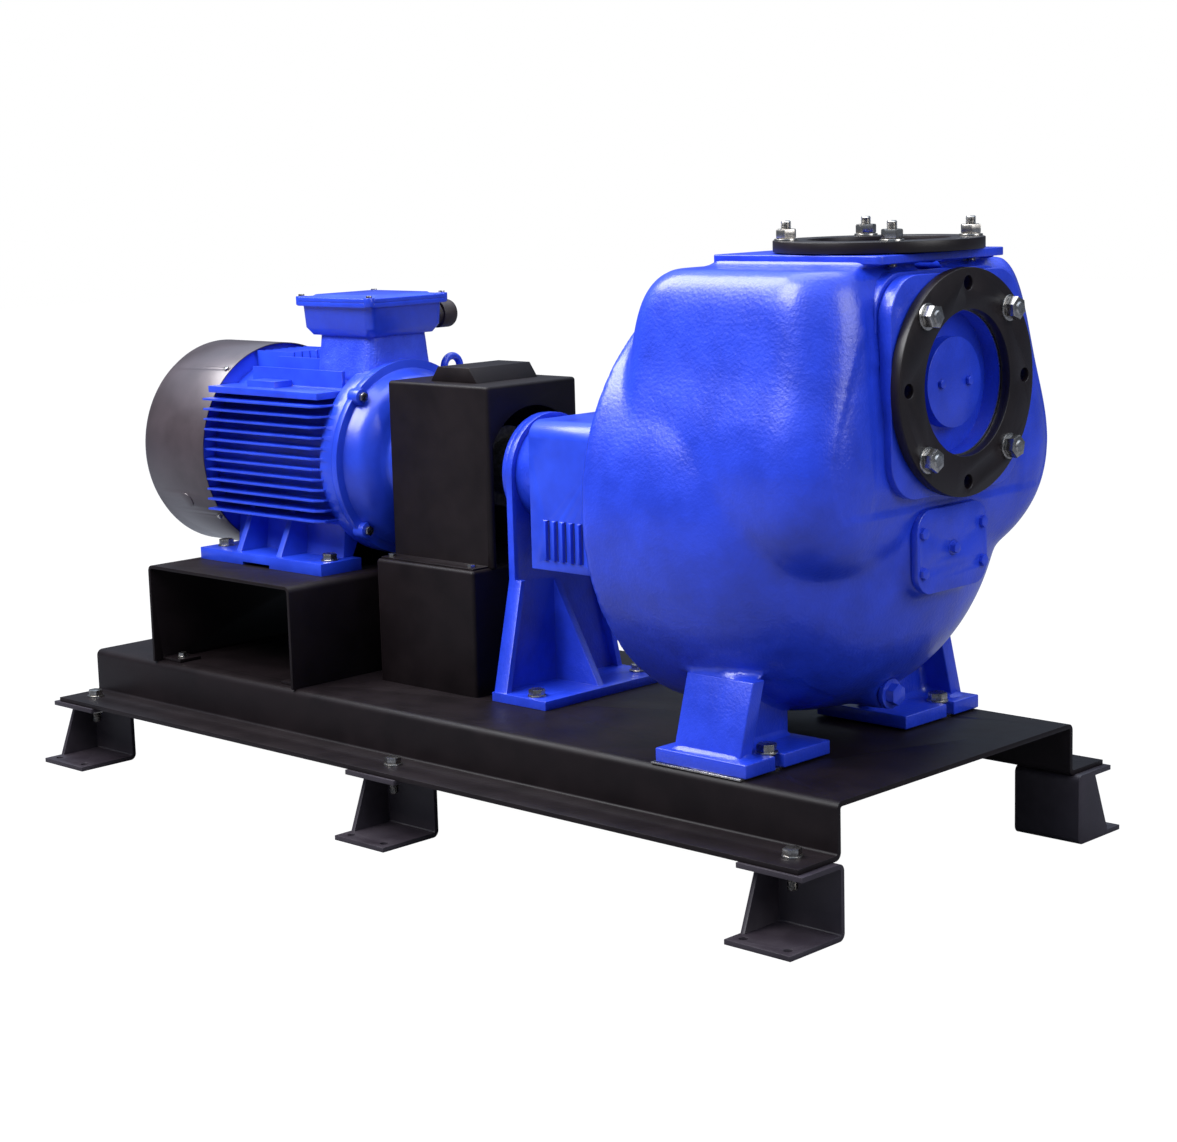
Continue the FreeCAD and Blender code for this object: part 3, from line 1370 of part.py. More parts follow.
def make_leg(side):
    """One cast leg with its notched foot, leaning web and cross brace."""
    x0 = casing_x + pump_foot_x0
    x1 = x0 + pump_foot_length
    low, high = deck_z + shim_thick, deck_z + shim_thick + pump_foot_thick
    outer, inner = side * pump_foot_outer, side * pump_foot_inner
    near, far = sorted((outer, inner))
    notch_x = x1 - pump_bolt_front
    notch_r = pump_bolt_r + bolt_gap
    notch_y = side * pump_bolt_y
    notch = rod(notch_r, 60.0, V(notch_x, notch_y, low - 10.0), Z)
    notch = notch.fuse(box(notch_x, x1 + 10.0, notch_y - notch_r, notch_y + notch_r, low - 10.0, high + 10.0))
    foot = box(x0, x1, near, far, low, high).cut(notch)
    web_y = outer - side * pump_leg_inset
    back_y = web_y - side * pump_leg_thick
    lean = side * pump_leg_lean
    top, root = high + pump_leg_rise, high - 1.0
    leg_x = x0 + pump_leg_start
    web = prism([V(leg_x, web_y, root), V(leg_x, back_y, root), V(leg_x, back_y - lean, top),
                 V(leg_x, web_y - lean, top)], X * pump_leg_length)
    brace_x = leg_x + pump_brace_share * pump_leg_length
    brace_y = inner + side * 8.0
    brace = prism([V(brace_x, web_y - side * 10.0, root), V(brace_x, brace_y, root),
                   V(brace_x, brace_y, top - 60.0), V(brace_x, web_y - side * 12.0 - lean, top - 2.0)],
                  X * pump_brace_thick)
    return joined([foot, web, brace])


def spiral_face(grow):
    """The volute's outline in the plane of the casing's back, grown by a wall."""
    steps = 8
    points = []
    for number in range(steps + 1):
        share = number / steps
        radius = volute_start_r + volute_growth * share + grow
        angle = math.radians(60.0 + 300.0 * share)
        points.append(V(casing_x, radius * math.cos(angle), axis_z + radius * math.sin(angle)))
    curve = Part.BSplineCurve()
    curve.interpolate(points)
    closing = Part.LineSegment(points[-1], points[0])
    return Part.Face(Part.Wire([curve.toShape(), closing.toShape()]))


def volute():
    """The spiral volute inside the casing, with its front wall and the eye."""
    x0 = casing_x
    x1 = wear_face_x() + wear_plate_thick
    outside = spiral_face(volute_wall).extrude(V(x1 + volute_wall - x0, 0, 0))
    inside = spiral_face(0).extrude(V(x1 - x0 + 1.0, 0, 0))
    inside.translate(V(-1.0, 0, 0))
    spiral = outside.cut(inside)
    mouth = box(x0 + 20.0, x1 - 6.0, 30.0, 150.0, axis_z + 120.0, axis_z + 300.0)
    return spiral.cut([rod(eye_bore, 60.0, axis_point(x1 - 10.0)), mouth])


def make_pads():
    """The cast pads and bosses on the casing, for ports, inspection cover, drain and the bare boss."""
    face_x = suction_x - flange_thick - gasket_thick
    half = suction_pad_half
    suction = Part.makeLoft(
        [rounded_wire(V(face_x, 0, suction_z), Y, Z, half, half, suction_pad_corner),
         rounded_wire(V(face_x - suction_pad_depth, 0, suction_z), Y, Z, half + 4.0, half + 4.0,
                      suction_pad_corner)], True, True)
    top = V(discharge_x - discharge_pad_back, 0, pad_top - discharge_pad_thick)
    half_a, half_b = discharge_pad_length / 2, discharge_pad_width / 2
    flare = Part.makeLoft([rounded_wire(top, X, Y, half_a - 8.0, half_b - 8.0, discharge_pad_corner + 4.0),
                           rounded_wire(top - Z * flare_depth, X, Y, half_a - 60.0, half_b + 14.0, 60.0)],
                          True, True)
    discharge = rounded_block(top, X, Y, half_a, half_b, discharge_pad_corner, Z * discharge_pad_thick)
    hand = V(hand_face_x - hand_cover_thick, 0, hand_z)
    boss = Part.makeLoft(
        [rounded_wire(hand, Y, Z, hand_cover_half_y, hand_cover_half_z, hand_cover_corner),
         rounded_wire(hand - X * hand_boss_depth - Z * 10.0, Y, Z, hand_cover_half_y + 16.0,
                      hand_cover_half_z + 16.0, hand_cover_corner + 14.0)], True, True)
    drain = rod(drain_boss_r, 100.0, drain_point() - X * 100.0)
    blank_x = suction_x - blank_back
    blank = box(blank_x - blank_depth, blank_x, blank_y, blank_y + blank_width,
                blank_z, blank_z + blank_height)
    return [suction, flare, discharge, boss, drain, blank]


def casing_openings():
    """What is cut out of the casing: ports, back opening, valve pocket and inspection hole."""
    seat_x = valve_seat_x()
    hand = V(hand_face_x - hand_cover_thick, 0, hand_z)
    return [rod(casing_opening_r, casing_wall + 2.0, axis_point(casing_x - 1.0)),
            rod(casing_port_r, valve_depth, V(seat_x, 0, suction_z)),
            rod(valve_pocket_r, valve_pocket_depth, V(seat_x - valve_pocket_depth, 0, suction_z)),
            box(seat_x - valve_pocket_depth - 7.0, seat_x, -valve_pocket_half, valve_pocket_half,
                suction_z, suction_z + valve_pocket_top),
            rod(casing_port_r, 90.0, V(discharge_x, 0, pad_top - 90.0), Z),
            rod(hand_hole_r, 120.0, hand - X * 120.0)]


def make_casing():
    """The pump casing: drum, chamber, pads, bosses, legs, cavity and volute."""
    body = joined([drum(0).fuse(chamber(0)).removeSplitter()] + make_pads() + [make_leg(-1), make_leg(1)])
    reach = chamber_half + 60.0
    behind = box(casing_x - 40.0, casing_x, -reach, reach, deck_z, pad_top)
    seat = rounded_block(V(hand_face_x - hand_cover_thick, 0, hand_z), Y, Z, hand_cover_half_y + 4.0,
                         hand_cover_half_z + 4.0, hand_cover_corner + 4.0, X * 60.0)
    spot_face = rod(drain_boss_r + 2.0, 60.0, drain_point())
    body = body.cut([behind, seat, spot_face]).cut(drum(casing_wall)).cut(chamber(casing_wall))
    reach = volute_start_r + volute_growth + volute_wall + 8.0
    back = box(casing_x, casing_x + casing_wall, -reach, reach, axis_z - reach, axis_z + reach)
    inside = volute().common(drum(casing_wall - 2.0).fuse(back))
    body = body.fuse(inside).removeSplitter()
    return body.cut(casing_openings() + casing_threads())


def drain_point():
    """The middle of the drain boss's face, in front of the drum's lower nose."""
    return V(casing_x + drum_straight + drain_share * drum_nose, 0, axis_z - drain_drop)


def stud_places(pcd, face, direction):
    """The four studs of a flange, at 45 degrees."""
    radius = pcd / 2 * math.sqrt(0.5)
    other = Z if abs(direction.x) > 0.5 else X
    return [face + Y * (sy * radius) + other * (sz * radius) for sy in (-1, 1) for sz in (-1, 1)]


def casing_threads():
    """Tapped holes in the casing for the flange studs, back bolts, cover screws and plugs."""
    holes = []
    depth = stud_depth + 4.0
    face = V(suction_x - flange_thick - gasket_thick, 0, suction_z)
    holes += [rod(stud_r + thread_gap, depth, place - X * depth)
              for place in stud_places(suction_pcd, face, X)]
    face = V(discharge_x, 0, pad_top)
    holes += [rod(discharge_stud_r + thread_gap, depth, place - Z * depth, Z)
              for place in stud_places(discharge_pcd, face, Z)]
    holes += [rod(casing_bolt_r + thread_gap, casing_bolt_depth + 2.0, V(casing_x, y, axis_z + z))
              for y, z in casing_bolt_places()]
    depth = hand_bolt_depth + 4.0
    holes += [rod(hand_bolt_r + thread_gap, depth, place - X * (hand_cover_thick + depth))
              for place in hand_screw_places()]
    depth = drain_depth + 2.0
    return holes + [rod(drain_r + thread_gap, depth, drain_point() - X * depth)]


def make_flange(radius, pcd, hole_r, face, direction):
    """A round port flange with eight holes, its back on the gasket."""
    back = face - direction * flange_thick
    ring = tube(radius, port_r, flange_thick, back, direction)
    other = Z if abs(direction.x) > 0.5 else X
    holes = [back + Y * a + other * b for a, b in ring_places(flange_hole_count, pcd / 2)]
    return drilled(ring, hole_r, holes, direction, flange_thick)


def make_gaskets():
    """The gaskets behind the two port flanges."""
    suction = V(suction_x - flange_thick - gasket_thick, 0, suction_z)
    discharge = V(discharge_x, 0, pad_top)
    return [tube(suction_flange_r - 34.0, gasket_bore, gasket_thick, suction),
            tube(discharge_flange_r - 30.0, gasket_bore, gasket_thick, discharge, Z)]


def make_studs():
    """The studs of both port flanges."""
    depth = stud_depth + gasket_thick + flange_thick
    solids = [rod(stud_r, depth + stud_out, place - X * depth)
              for place in stud_places(suction_pcd, V(suction_x, 0, suction_z), X)]
    solids += [rod(discharge_stud_r, depth + discharge_stud_out, place - Z * depth, Z)
               for place in stud_places(discharge_pcd, V(discharge_x, 0, discharge_face), Z)]
    return solids


def make_stud_nuts():
    """The nuts and washers on the flange studs."""
    solids = [nut(stud_r, place, X) for place in stud_places(suction_pcd, V(suction_x, 0, suction_z), X)]
    solids += [nut(discharge_stud_r, place, Z)
               for place in stud_places(discharge_pcd, V(discharge_x, 0, discharge_face), Z)]
    return solids


def valve_seat_x():
    """The plane in which the suction flap seats."""
    return suction_x - valve_depth


def valve_pin():
    """The hinge line of the suction flap, as a point on it."""
    return V(valve_seat_x() - valve_pin_back, 0, suction_z + valve_pin_rise)


def make_flap():
    """The suction check-valve flap: plate, hinge eyes and its weights."""
    x1 = valve_seat_x() - seat_gap
    x0 = x1 - valve_plate_thick
    plate = rod(valve_plate_r, valve_plate_thick, V(x0, 0, suction_z))
    weight = rod(valve_weight_r, valve_weight_thick + seat_gap, V(x1 - 0.1, 0, suction_z))
    ballast = rod(valve_ballast_r, valve_ballast_thick + 1.0, V(x0 - valve_ballast_thick, 0, suction_z))
    pin = valve_pin()
    arms = []
    for side in (-1, 1):
        y0 = side * valve_ear_y - valve_ear_width / 2
        arms.append(rod(valve_pin_r + 5.0, valve_ear_width, V(pin.x, y0, pin.z), Y))
        arms.append(box(x0, x1 - 1.0, y0, y0 + valve_ear_width, suction_z + 90.0, pin.z))
    flap = joined([plate, weight, ballast] + arms)
    return flap.cut(rod(valve_pin_r + running_gap, 200.0, V(pin.x, -100.0, pin.z), Y))


def make_flap_screws():
    """The two screws that clamp the weight to the flap."""
    x = valve_seat_x() + valve_weight_thick
    return [hexagon(flap_screw_flats, flap_screw_head, V(x, side * flap_screw_y, suction_z), X)
            for side in (-1, 1)]


def make_valve_hinge():
    """The pin of the flap and the two lugs that carry it inside the casing."""
    pin = valve_pin()
    half, reach = valve_lug / 2, valve_lug_half
    shaft = rod(valve_pin_r, valve_pin_length, V(pin.x, -valve_pin_length / 2, pin.z), Y)
    lugs = [box(pin.x - reach, valve_seat_x(), side * valve_lug_y - half, side * valve_lug_y + half,
                pin.z - reach, pin.z + reach) for side in (-1, 1)]
    return joined([shaft] + lugs)


def hand_screw_places():
    """The inspection cover's screws, on its face."""
    return [V(hand_face_x, sy * hand_bolt_y, hand_z + sz * hand_bolt_z) for sy in (-1, 1) for sz in (-1, 1)]


def make_hand_cover():
    """The inspection cover below the suction flange."""
    back = V(hand_face_x - hand_cover_thick, 0, hand_z)
    cover = rounded_block(back, Y, Z, hand_cover_half_y, hand_cover_half_z, hand_cover_corner,
                          X * hand_cover_thick)
    cover = drilled(cover, hand_bolt_r + bolt_gap, hand_screw_places(), X * -1, hand_cover_thick)
    return cover.cut(rod(plug_r + thread_gap, hand_cover_thick, back))


def make_hand_cover_screws():
    """The four screws of the inspection cover."""
    return [screw(hand_bolt_r, hand_cover_thick + hand_bolt_depth, place, X) for place in hand_screw_places()]


def make_pipe_plugs():
    """The plug in the inspection cover and the stepped drain plug."""
    hand = V(hand_face_x, 0, hand_z)
    depth = hand_cover_thick - 2.0
    small = joined([rod(plug_r, depth, hand - X * depth), hexagon(plug_flats, plug_head, hand, X)])
    drain = drain_point()
    large = joined([rod(drain_r, drain_depth, drain - X * drain_depth),
                    rod(drain_collar_r, drain_collar, drain),
                    hexagon(drain_flats, drain_head, drain + X * drain_collar, X)])
    return [small, large]


def make_shims():
    """The thin shims under the pump's feet."""
    x0 = casing_x + pump_foot_x0
    solids = []
    for place in pump_foot_bolt_places():
        side = 1 if place.y > 0 else -1
        near, far = sorted((side * (pump_foot_outer + shim_reach), side * (pump_foot_inner + 30.0)))
        shim = box(x0 - 6.0, x0 + pump_foot_length - 8.0, near, far, deck_z, deck_z + shim_thick)
        solids.append(drilled(shim, pump_bolt_r + bolt_gap, [place], Z, shim_thick))
    return solids


def make_bearings():
    """The bearings of both shafts, as (fixed rings, motor's turning parts, pump's turning parts)."""
    fixed, motor_turning, pump_turning = [], [], []
    for x in motor_bearing_starts():
        still, turning = bearing(motor_bearing_r, motor_bearing_bore, motor_bearing_width, x)
        fixed += still
        motor_turning += turning
    for x in bearing_starts():
        still, turning = bearing(pump_bearing_r, pump_journal_r, pump_bearing_width, x)
        fixed += still
        pump_turning += turning
    return fixed, motor_turning, pump_turning


def make_deck_bolts():
    """The bolts that hold riser, pedestal and pump to the deck, with their nuts."""
    bolts = []
    for radius, thick, places in (
            (riser_bolt_r, riser_plate, riser_bolt_places()),
            (pedestal_bolt_r, pedestal_foot_thick, pedestal_bolt_places()),
            (pump_bolt_r, shim_thick + pump_foot_thick, pump_foot_bolt_places())):
        bolts += clamped(radius, thick, base_plate, places)
    return bolts


def build():
    """Every node of the pump set by name."""
    stator_start = axis_point(stator_x()[0])
    fixed_rings, motor_turning, pump_turning = make_bearings()
    parts = {
        "base_frame": make_base_frame(),
        "foot_bracket_bolts": clamped(foot_bolt_r, base_plate, foot_plate, foot_bolt_places(), 0.0, 34.0),
        "motor_riser": make_riser(),
        "motor_frame": make_motor_frame(),
        "drive_end_shield": make_drive_end_shield(),
        "rear_end_shield": make_rear_shield(),
        "fan_cowl": make_fan_cowl(),
        "motor_screws": make_motor_screws(),
        "cooling_fan": make_cooling_fan(),
        "motor_shaft": make_motor_shaft(),
        "rotor_core": tube(rotor_r, motor_core_r, stator_length, stator_start),
        "stator_core": tube(barrel_bore, rotor_r + air_gap, stator_length, stator_start),
        "stator_windings": make_windings(),
        "motor_bearing_inner_rings": motor_turning,
        "motor_foot_bolts": clamped(motor_bolt_r, motor_foot_thick, riser_plate, motor_bolt_places()),
        "terminal_box": make_terminal_box(),
        "terminal_box_lid": make_terminal_lid(),
        "cable_gland": make_gland(),
        "lifting_eye": make_lifting_eye(),
        "motor_coupling_hub": make_hub(motor_end_x, 1, motor_shaft_r, 0.0),
        "pump_coupling_hub": make_hub(pump_end_x, -1, pump_shaft_r, 60.0),
        "coupling_spider": make_spider(),
        "guard_stand": make_guard_stand(),
        "coupling_guard": make_coupling_guard(),
        "guard_cap": make_guard_cap(),
        "guard_screws": [screw(guard_screw_r, 2 * guard_sheet + 8.0, place + Z * guard_sheet, Z)
                         for place in guard_screw_places()],
        "bearing_frame": make_bearing_frame(),
        "bearing_cap": make_bearing_cap(),
        "shaft_cover": make_shaft_cover(),
        "pedestal": make_pedestal(),
        "pump_shaft": make_pump_shaft(),
        "bearing_outer_rings": fixed_rings,
        "pump_bearing_inner_rings": pump_turning,
        "seal_plate": make_seal_plate(),
        "seal_seat": make_seal_seat(),
        "seal_ring": make_seal_ring(),
        "bearing_frame_screws": make_bearing_frame_screws(),
        "impeller": make_impeller(),
        "impeller_nut": make_impeller_nut(),
        "wear_plate": make_wear_plate(),
        "pump_casing": make_casing(),
        "suction_flange": make_flange(suction_flange_r, suction_pcd, suction_hole_r,
                                      V(suction_x, 0, suction_z), X),
        "discharge_flange": make_flange(discharge_flange_r, discharge_pcd, discharge_hole_r,
                                        V(discharge_x, 0, discharge_face), Z),
        "flange_gaskets": make_gaskets(),
        "flange_studs": make_studs(),
        "flange_nuts": make_stud_nuts(),
        "check_valve_flap": make_flap(),
        "flap_screws": make_flap_screws(),
        "valve_hinge": make_valve_hinge(),
        "inspection_cover": make_hand_cover(),
        "inspection_cover_screws": make_hand_cover_screws(),
        "pipe_plugs": make_pipe_plugs(),
        "pump_foot_shims": make_shims(),
        "deck_bolts": make_deck_bolts(),
    }
    for where, x in foot_centres().items():
        for name, side in (("right", -1), ("left", 1)):
            parts[f"foot_bracket_{name}_{where}"] = make_foot_bracket(x, side)
    return parts


os.makedirs("parts", exist_ok=True)
for name, shape in build().items():
    if isinstance(shape, list):
        shape = Part.makeCompound(shape)
    shape.exportStep(f"parts/{name}.step")
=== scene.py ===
"""Looks of a self-priming trash pump set: pump, motor, guard and bent-plate base.

All sizes are in metres unless a name ends in _mm. +X runs along the shaft from the motor to the
suction ring, +Y is the far side, +Z is up and the floor is z = 0.
"""

import json
import logging
import math
from dataclasses import dataclass, field
from enum import Enum
from typing import Callable, Iterable, Sequence

import bpy
from bpy.types import Material, Mesh, Node, NodeSocket, NodeTree, Object
from mathutils import Matrix, Vector

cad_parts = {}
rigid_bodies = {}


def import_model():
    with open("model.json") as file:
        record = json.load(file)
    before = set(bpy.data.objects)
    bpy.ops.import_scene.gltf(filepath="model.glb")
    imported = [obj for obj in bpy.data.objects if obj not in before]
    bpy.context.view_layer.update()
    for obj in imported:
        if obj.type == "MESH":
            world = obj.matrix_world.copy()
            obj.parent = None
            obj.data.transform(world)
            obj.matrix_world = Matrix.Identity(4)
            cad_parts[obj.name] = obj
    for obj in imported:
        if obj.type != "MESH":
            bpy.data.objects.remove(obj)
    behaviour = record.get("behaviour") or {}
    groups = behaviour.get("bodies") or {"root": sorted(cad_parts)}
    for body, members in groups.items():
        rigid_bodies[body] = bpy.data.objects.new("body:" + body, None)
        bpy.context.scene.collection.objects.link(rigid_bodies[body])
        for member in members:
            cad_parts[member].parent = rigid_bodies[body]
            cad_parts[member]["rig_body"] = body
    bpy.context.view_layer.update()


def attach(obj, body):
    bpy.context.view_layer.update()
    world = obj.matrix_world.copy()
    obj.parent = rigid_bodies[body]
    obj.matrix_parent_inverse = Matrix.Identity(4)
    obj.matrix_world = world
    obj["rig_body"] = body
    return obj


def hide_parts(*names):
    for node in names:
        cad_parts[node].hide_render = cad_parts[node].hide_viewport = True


log = logging.getLogger("pump_set")

MM = 0.001
SHAFT_Z = 0.589
WELD = 1e-6             # points nearer than this are one
EDGE_DEGREES = 35       # edges sharper than this are rounded
SMOOTH_DEGREES = 38     # and what is flatter than this is shaded smooth
CORNER_STEPS = 10       # faces round the corner of an outline


class Side(Enum):
    """The two sides of the shaft, as seen in the picture."""

    NEAR = -1
    FAR = 1


class Axis(Enum):
    """Directions of the frame that a fastener or an outline takes."""

    FRONT = Vector((1.0, 0.0, 0.0))
    FAR = Vector((0.0, 1.0, 0.0))
    UP = Vector((0.0, 0.0, 1.0))


# Colour and shader helpers


def linear(code: str) -> tuple[float, float, float, float]:
    """Turn an sRGB hex colour to linear.

    Args:
        code: six hex digits, with or without a leading hash.

    Returns:
        Linear red, green, blue and an alpha of one.
    """
    digits = code.lstrip("#")
    channels = [int(digits[k:k + 2], 16) / 255 for k in (0, 2, 4)]
    red, green, blue = [c / 12.92 if c <= 0.04045 else ((c + 0.055) / 1.055) ** 2.4 for c in channels]
    return red, green, blue, 1.0


def add_node(tree: NodeTree, kind: str, inputs: dict | None = None, **settings) -> Node:
    """Add one shader node.

    Args:
        tree: the material's node tree.
        kind: the node's type name.
        inputs: socket name or number to a value, or to the output it is linked from.
        settings: attributes of the node itself.

    Returns:
        The new node.
    """
    node = tree.nodes.new(kind)
    for key, value in settings.items():
        setattr(node, key, value)
    for key, value in (inputs or {}).items():
        if isinstance(value, NodeSocket):
            tree.links.new(value, node.inputs[key])
        else:
            node.inputs[key].default_value = value
    return node


def blank_material(name: str) -> tuple[Material, NodeTree]:
    """Make a material whose node tree is empty."""
    material = bpy.data.materials.new(name)
    material.use_nodes = True
    material.node_tree.nodes.clear()
    return material, material.node_tree


def noise(tree: NodeTree, place: NodeSocket, size_mm: float,
          **settings: float) -> NodeSocket:
    """Add a noise pattern of some feature width to a tree, and return its value."""
    return add_node(tree, "ShaderNodeTexNoise", {"Vector": place, "Scale": 1.0 / (size_mm * MM),
                                                 **settings}).outputs["Fac"]


def remap(tree: NodeTree, value: NodeSocket, span: tuple[float, float],
          onto: tuple[float, float] = (0.0, 1.0)) -> NodeSocket:
    """Stretch one span of values onto another, and return the result."""
    return add_node(tree, "ShaderNodeMapRange",
                    {"Value": value, "From Min": span[0], "From Max": span[1],
                     "To Min": onto[0], "To Max": onto[1]}).outputs["Result"]


def mix_colours(tree: NodeTree, share: NodeSocket, first: object,
                second: object) -> NodeSocket:
    """Mix two colours by the share of the second, and return the result."""
    return add_node(tree, "ShaderNodeMix", {"Factor": share, "A": first, "B": second},
                    data_type="RGBA").outputs["Result"]


def relief(tree: NodeTree, height: NodeSocket, depth_mm: float,
           **below: NodeSocket) -> NodeSocket:
    """Turn a pattern into bumps, on the relief below given as Normal, and return their normal."""
    return add_node(tree, "ShaderNodeBump", {"Height": height, "Strength": 1.0, "Distance": depth_mm * MM,
                                             **below}).outputs["Normal"]


# Spans of a noise's values: between them colours turn from one to the other, and gloss varies.
COLOUR_SPAN = (0.35, 0.65)
GLOSS_SPAN = (0.3, 0.7)


@dataclass(frozen=True)
class Paint:
    """A sprayed or brushed paint film on metal.

    The film levels out small marks but shows the grain of what is under it as a soft bump. Pairs are
    roughness and its spread, weight and roughness of the clear coat, and width and depth in mm of grain
    and of swell.
    """

    name: str
    tone: str
    shade: str
    rough: tuple[float, float]
    coat: tuple[float, float]
    grain: tuple[float, float]
    swell: tuple[float, float]
    metallic: float = 0.0
    specular: float = 0.5
    # Painted sheen: faces that turn up are mixed towards this paler colour, by up to this share, standing in
    # for light from above.
    sheen_colour: str = "#8A8684"
    sheen_share: float = 0.0

    def build(self) -> Material:
        """Build the paint as a material and return it."""
        material, tree = blank_material(self.name)
        place = add_node(tree, "ShaderNodeTexCoord").outputs["Object"]
        patches = noise(tree, place, 70, Detail=3.0, Roughness=0.6)
        grain = noise(tree, place, self.grain[0], Detail=2.0, Roughness=0.55)
        swell = noise(tree, place, self.swell[0], Detail=2.0)
        colour = mix_colours(tree, remap(tree, patches, COLOUR_SPAN), linear(self.shade),
                             linear(self.tone))
        # Painted sheen: the further a face turns up, the more of the paler colour is mixed in, in patches, as
        # light falling from above.
        if self.sheen_share:
            normal = add_node(tree, "ShaderNodeNewGeometry").outputs["Normal"]
            upward = add_node(tree, "ShaderNodeSeparateXYZ", {"Vector": normal}).outputs["Z"]
            level = remap(tree, upward, (0.6, 1.0), (0.0, self.sheen_share))
            painted_sheen = add_node(tree, "ShaderNodeMath", {0: level, 1: patches},
                             operation="MULTIPLY").outputs[0]
            colour = mix_colours(tree, painted_sheen, colour, linear(self.sheen_colour))
        middle, spread = self.rough
        rough = remap(tree, patches, GLOSS_SPAN, (middle - spread, middle + spread))
        hills = relief(tree, swell, self.swell[1])
        bumps = relief(tree, grain, self.grain[1], Normal=hills)
        shader = add_node(tree, "ShaderNodeBsdfPrincipled",
                          {"Base Color": colour, "Metallic": self.metallic, "Roughness": rough,
                           "Specular IOR Level": self.specular, "Normal": bumps,
                           "Coat Weight": self.coat[0], "Coat Roughness": self.coat[1], "Coat Normal": hills})
        add_node(tree, "ShaderNodeOutputMaterial", {"Surface": shader.outputs["BSDF"]})
        return material


@dataclass(frozen=True)
class Metal:
    """Bare or plated metal with a worked surface, whose grain is its width and depth in mm."""

    name: str
    tone: str
    shade: str
    rough: float
    grain: tuple[float, float]
    metallic: float = 1.0

    def build(self) -> Material:
        """Build the metal as a material and return it."""
        material, tree = blank_material(self.name)
        place = add_node(tree, "ShaderNodeTexCoord").outputs["Object"]
        stains = noise(tree, place, 9, Detail=4.0, Roughness=0.65)
        grain = noise(tree, place, self.grain[0], Detail=2.0)
        colour = mix_colours(tree, remap(tree, stains, COLOUR_SPAN), linear(self.shade),
                             linear(self.tone))
        rough = remap(tree, stains, GLOSS_SPAN, (self.rough + 0.08, self.rough - 0.06))
        shader = add_node(tree, "ShaderNodeBsdfPrincipled",
                          {"Base Color": colour, "Roughness": rough, "Metallic": self.metallic,
                           "Normal": relief(tree, grain, self.grain[1])})
        add_node(tree, "ShaderNodeOutputMaterial", {"Surface": shader.outputs["BSDF"]})
        return material


# Alkyd enamel on sand-cast iron: glossy blue over a pebbled skin with soft hollows.
CAST_ENAMEL = Paint("blue_enamel_on_sand_cast_iron", "#2140D0", "#1C37B8",
                    rough=(0.36, 0.05), coat=(0.45, 0.20),
                    grain=(5.0, 0.75), swell=(46.0, 1.0), specular=0.42)
# The same enamel on the motor's finer castings and on folded sheet: less pebble, same gloss.
SMOOTH_ENAMEL = Paint("blue_enamel_on_fine_casting", "#2445D0", "#1E3ABA",
                      rough=(0.34, 0.05), coat=(0.4, 0.20),
                      grain=(3.0, 0.14), swell=(60.0, 0.5), specular=0.42)
# Blue enamel brushed over a rough shell-moulded neck: coarse grit shows through it.
ROUGH_ENAMEL = Paint("blue_enamel_on_rough_casting", "#3A58E6", "#2440CC",
                     rough=(0.42, 0.06), coat=(0.3, 0.3), grain=(3.2, 1.3), swell=(18.0, 1.2))
# Stoved black enamel on rolled plate: nearly flat and satin, with a faint painted grey sheen on level faces
# that stands in for the light from above.
BLACK_ENAMEL = Paint("black_stoved_enamel_on_plate", "#160F11", "#100A0C",
                     rough=(0.50, 0.05), coat=(0.03, 0.4), grain=(5.0, 0.06), swell=(130.0, 0.6),
                     specular=0.17, sheen_colour="#241C1E", sheen_share=0.05)
# Black paint on the feet's bent plate, a little thicker than the stoved film and painted a little paler to
# stand in for the low-angle light that falls on the feet.
FOOT_ENAMEL_PAINTED_PALER = Paint("black_brushed_paint_on_feet", "#322C32", "#282228",
                    rough=(0.46, 0.05), coat=(0.05, 0.4),
                    grain=(5.0, 0.10), swell=(90.0, 0.6), specular=0.3)
# Brown-grey machine paint on the pressed cowl: satin, with a slight metal flake.
COWL_PAINT = Paint("grey_brown_paint_on_pressed_steel", "#51464A", "#463C3F",
                   rough=(0.34, 0.03), coat=(0.6, 0.24),
                   grain=(2.5, 0.04), swell=(120.0, 0.4), metallic=0.35)
# Black paint on the turned port rings: dull, a little brown.
RING_PAINT = Paint("black_paint_on_turned_ring", "#160C0E", "#10090A",
                   rough=(0.40, 0.05), coat=(0.08, 0.38),
                   grain=(3.0, 0.10), swell=(60.0, 0.3), specular=0.35)
# Polyamide moulding: brown-black, even, matt and finely textured.
MOULDED_BLACK = Paint("black_moulded_polyamide", "#2E2221", "#261C1B",
                      rough=(0.5, 0.04), coat=(0.0, 0.5), grain=(1.2, 0.05), swell=(30.0, 0.1))
# Cast polyurethane and cut sheet rubber: dull with a soft bloom.
RUBBER = Paint("black_sheet_rubber", "#191818", "#111010",
               rough=(0.72, 0.05), coat=(0.0, 0.5), grain=(1.5, 0.08), swell=(25.0, 0.2))
# Zinc plate on rolled-thread fasteners: pale and softly mirror-like.
ZINC_PLATE = Metal("zinc_plated_steel", "#C4C0BA", "#938F8A",
                   rough=0.26, grain=(1.6, 0.03))
# Turned shaft steel: even, with a fine lathe grain.
TURNED_STEEL = Metal("turned_shaft_steel", "#B9B7B4", "#8F8C88",
                     rough=0.3, grain=(0.8, 0.02))
# Grey iron as cast or skimmed: dark, dull, open grain.
GREY_IRON = Metal("grey_iron", "#6A6765", "#4C4947",
                  rough=0.55, grain=(2.0, 0.2), metallic=0.75)
# Varnished magnet wire: warm brown-red and glossy.
WINDING = Metal("varnished_copper_winding", "#B5612F", "#7C3D1E",
                rough=0.35, grain=(1.8, 0.4), metallic=0.8)


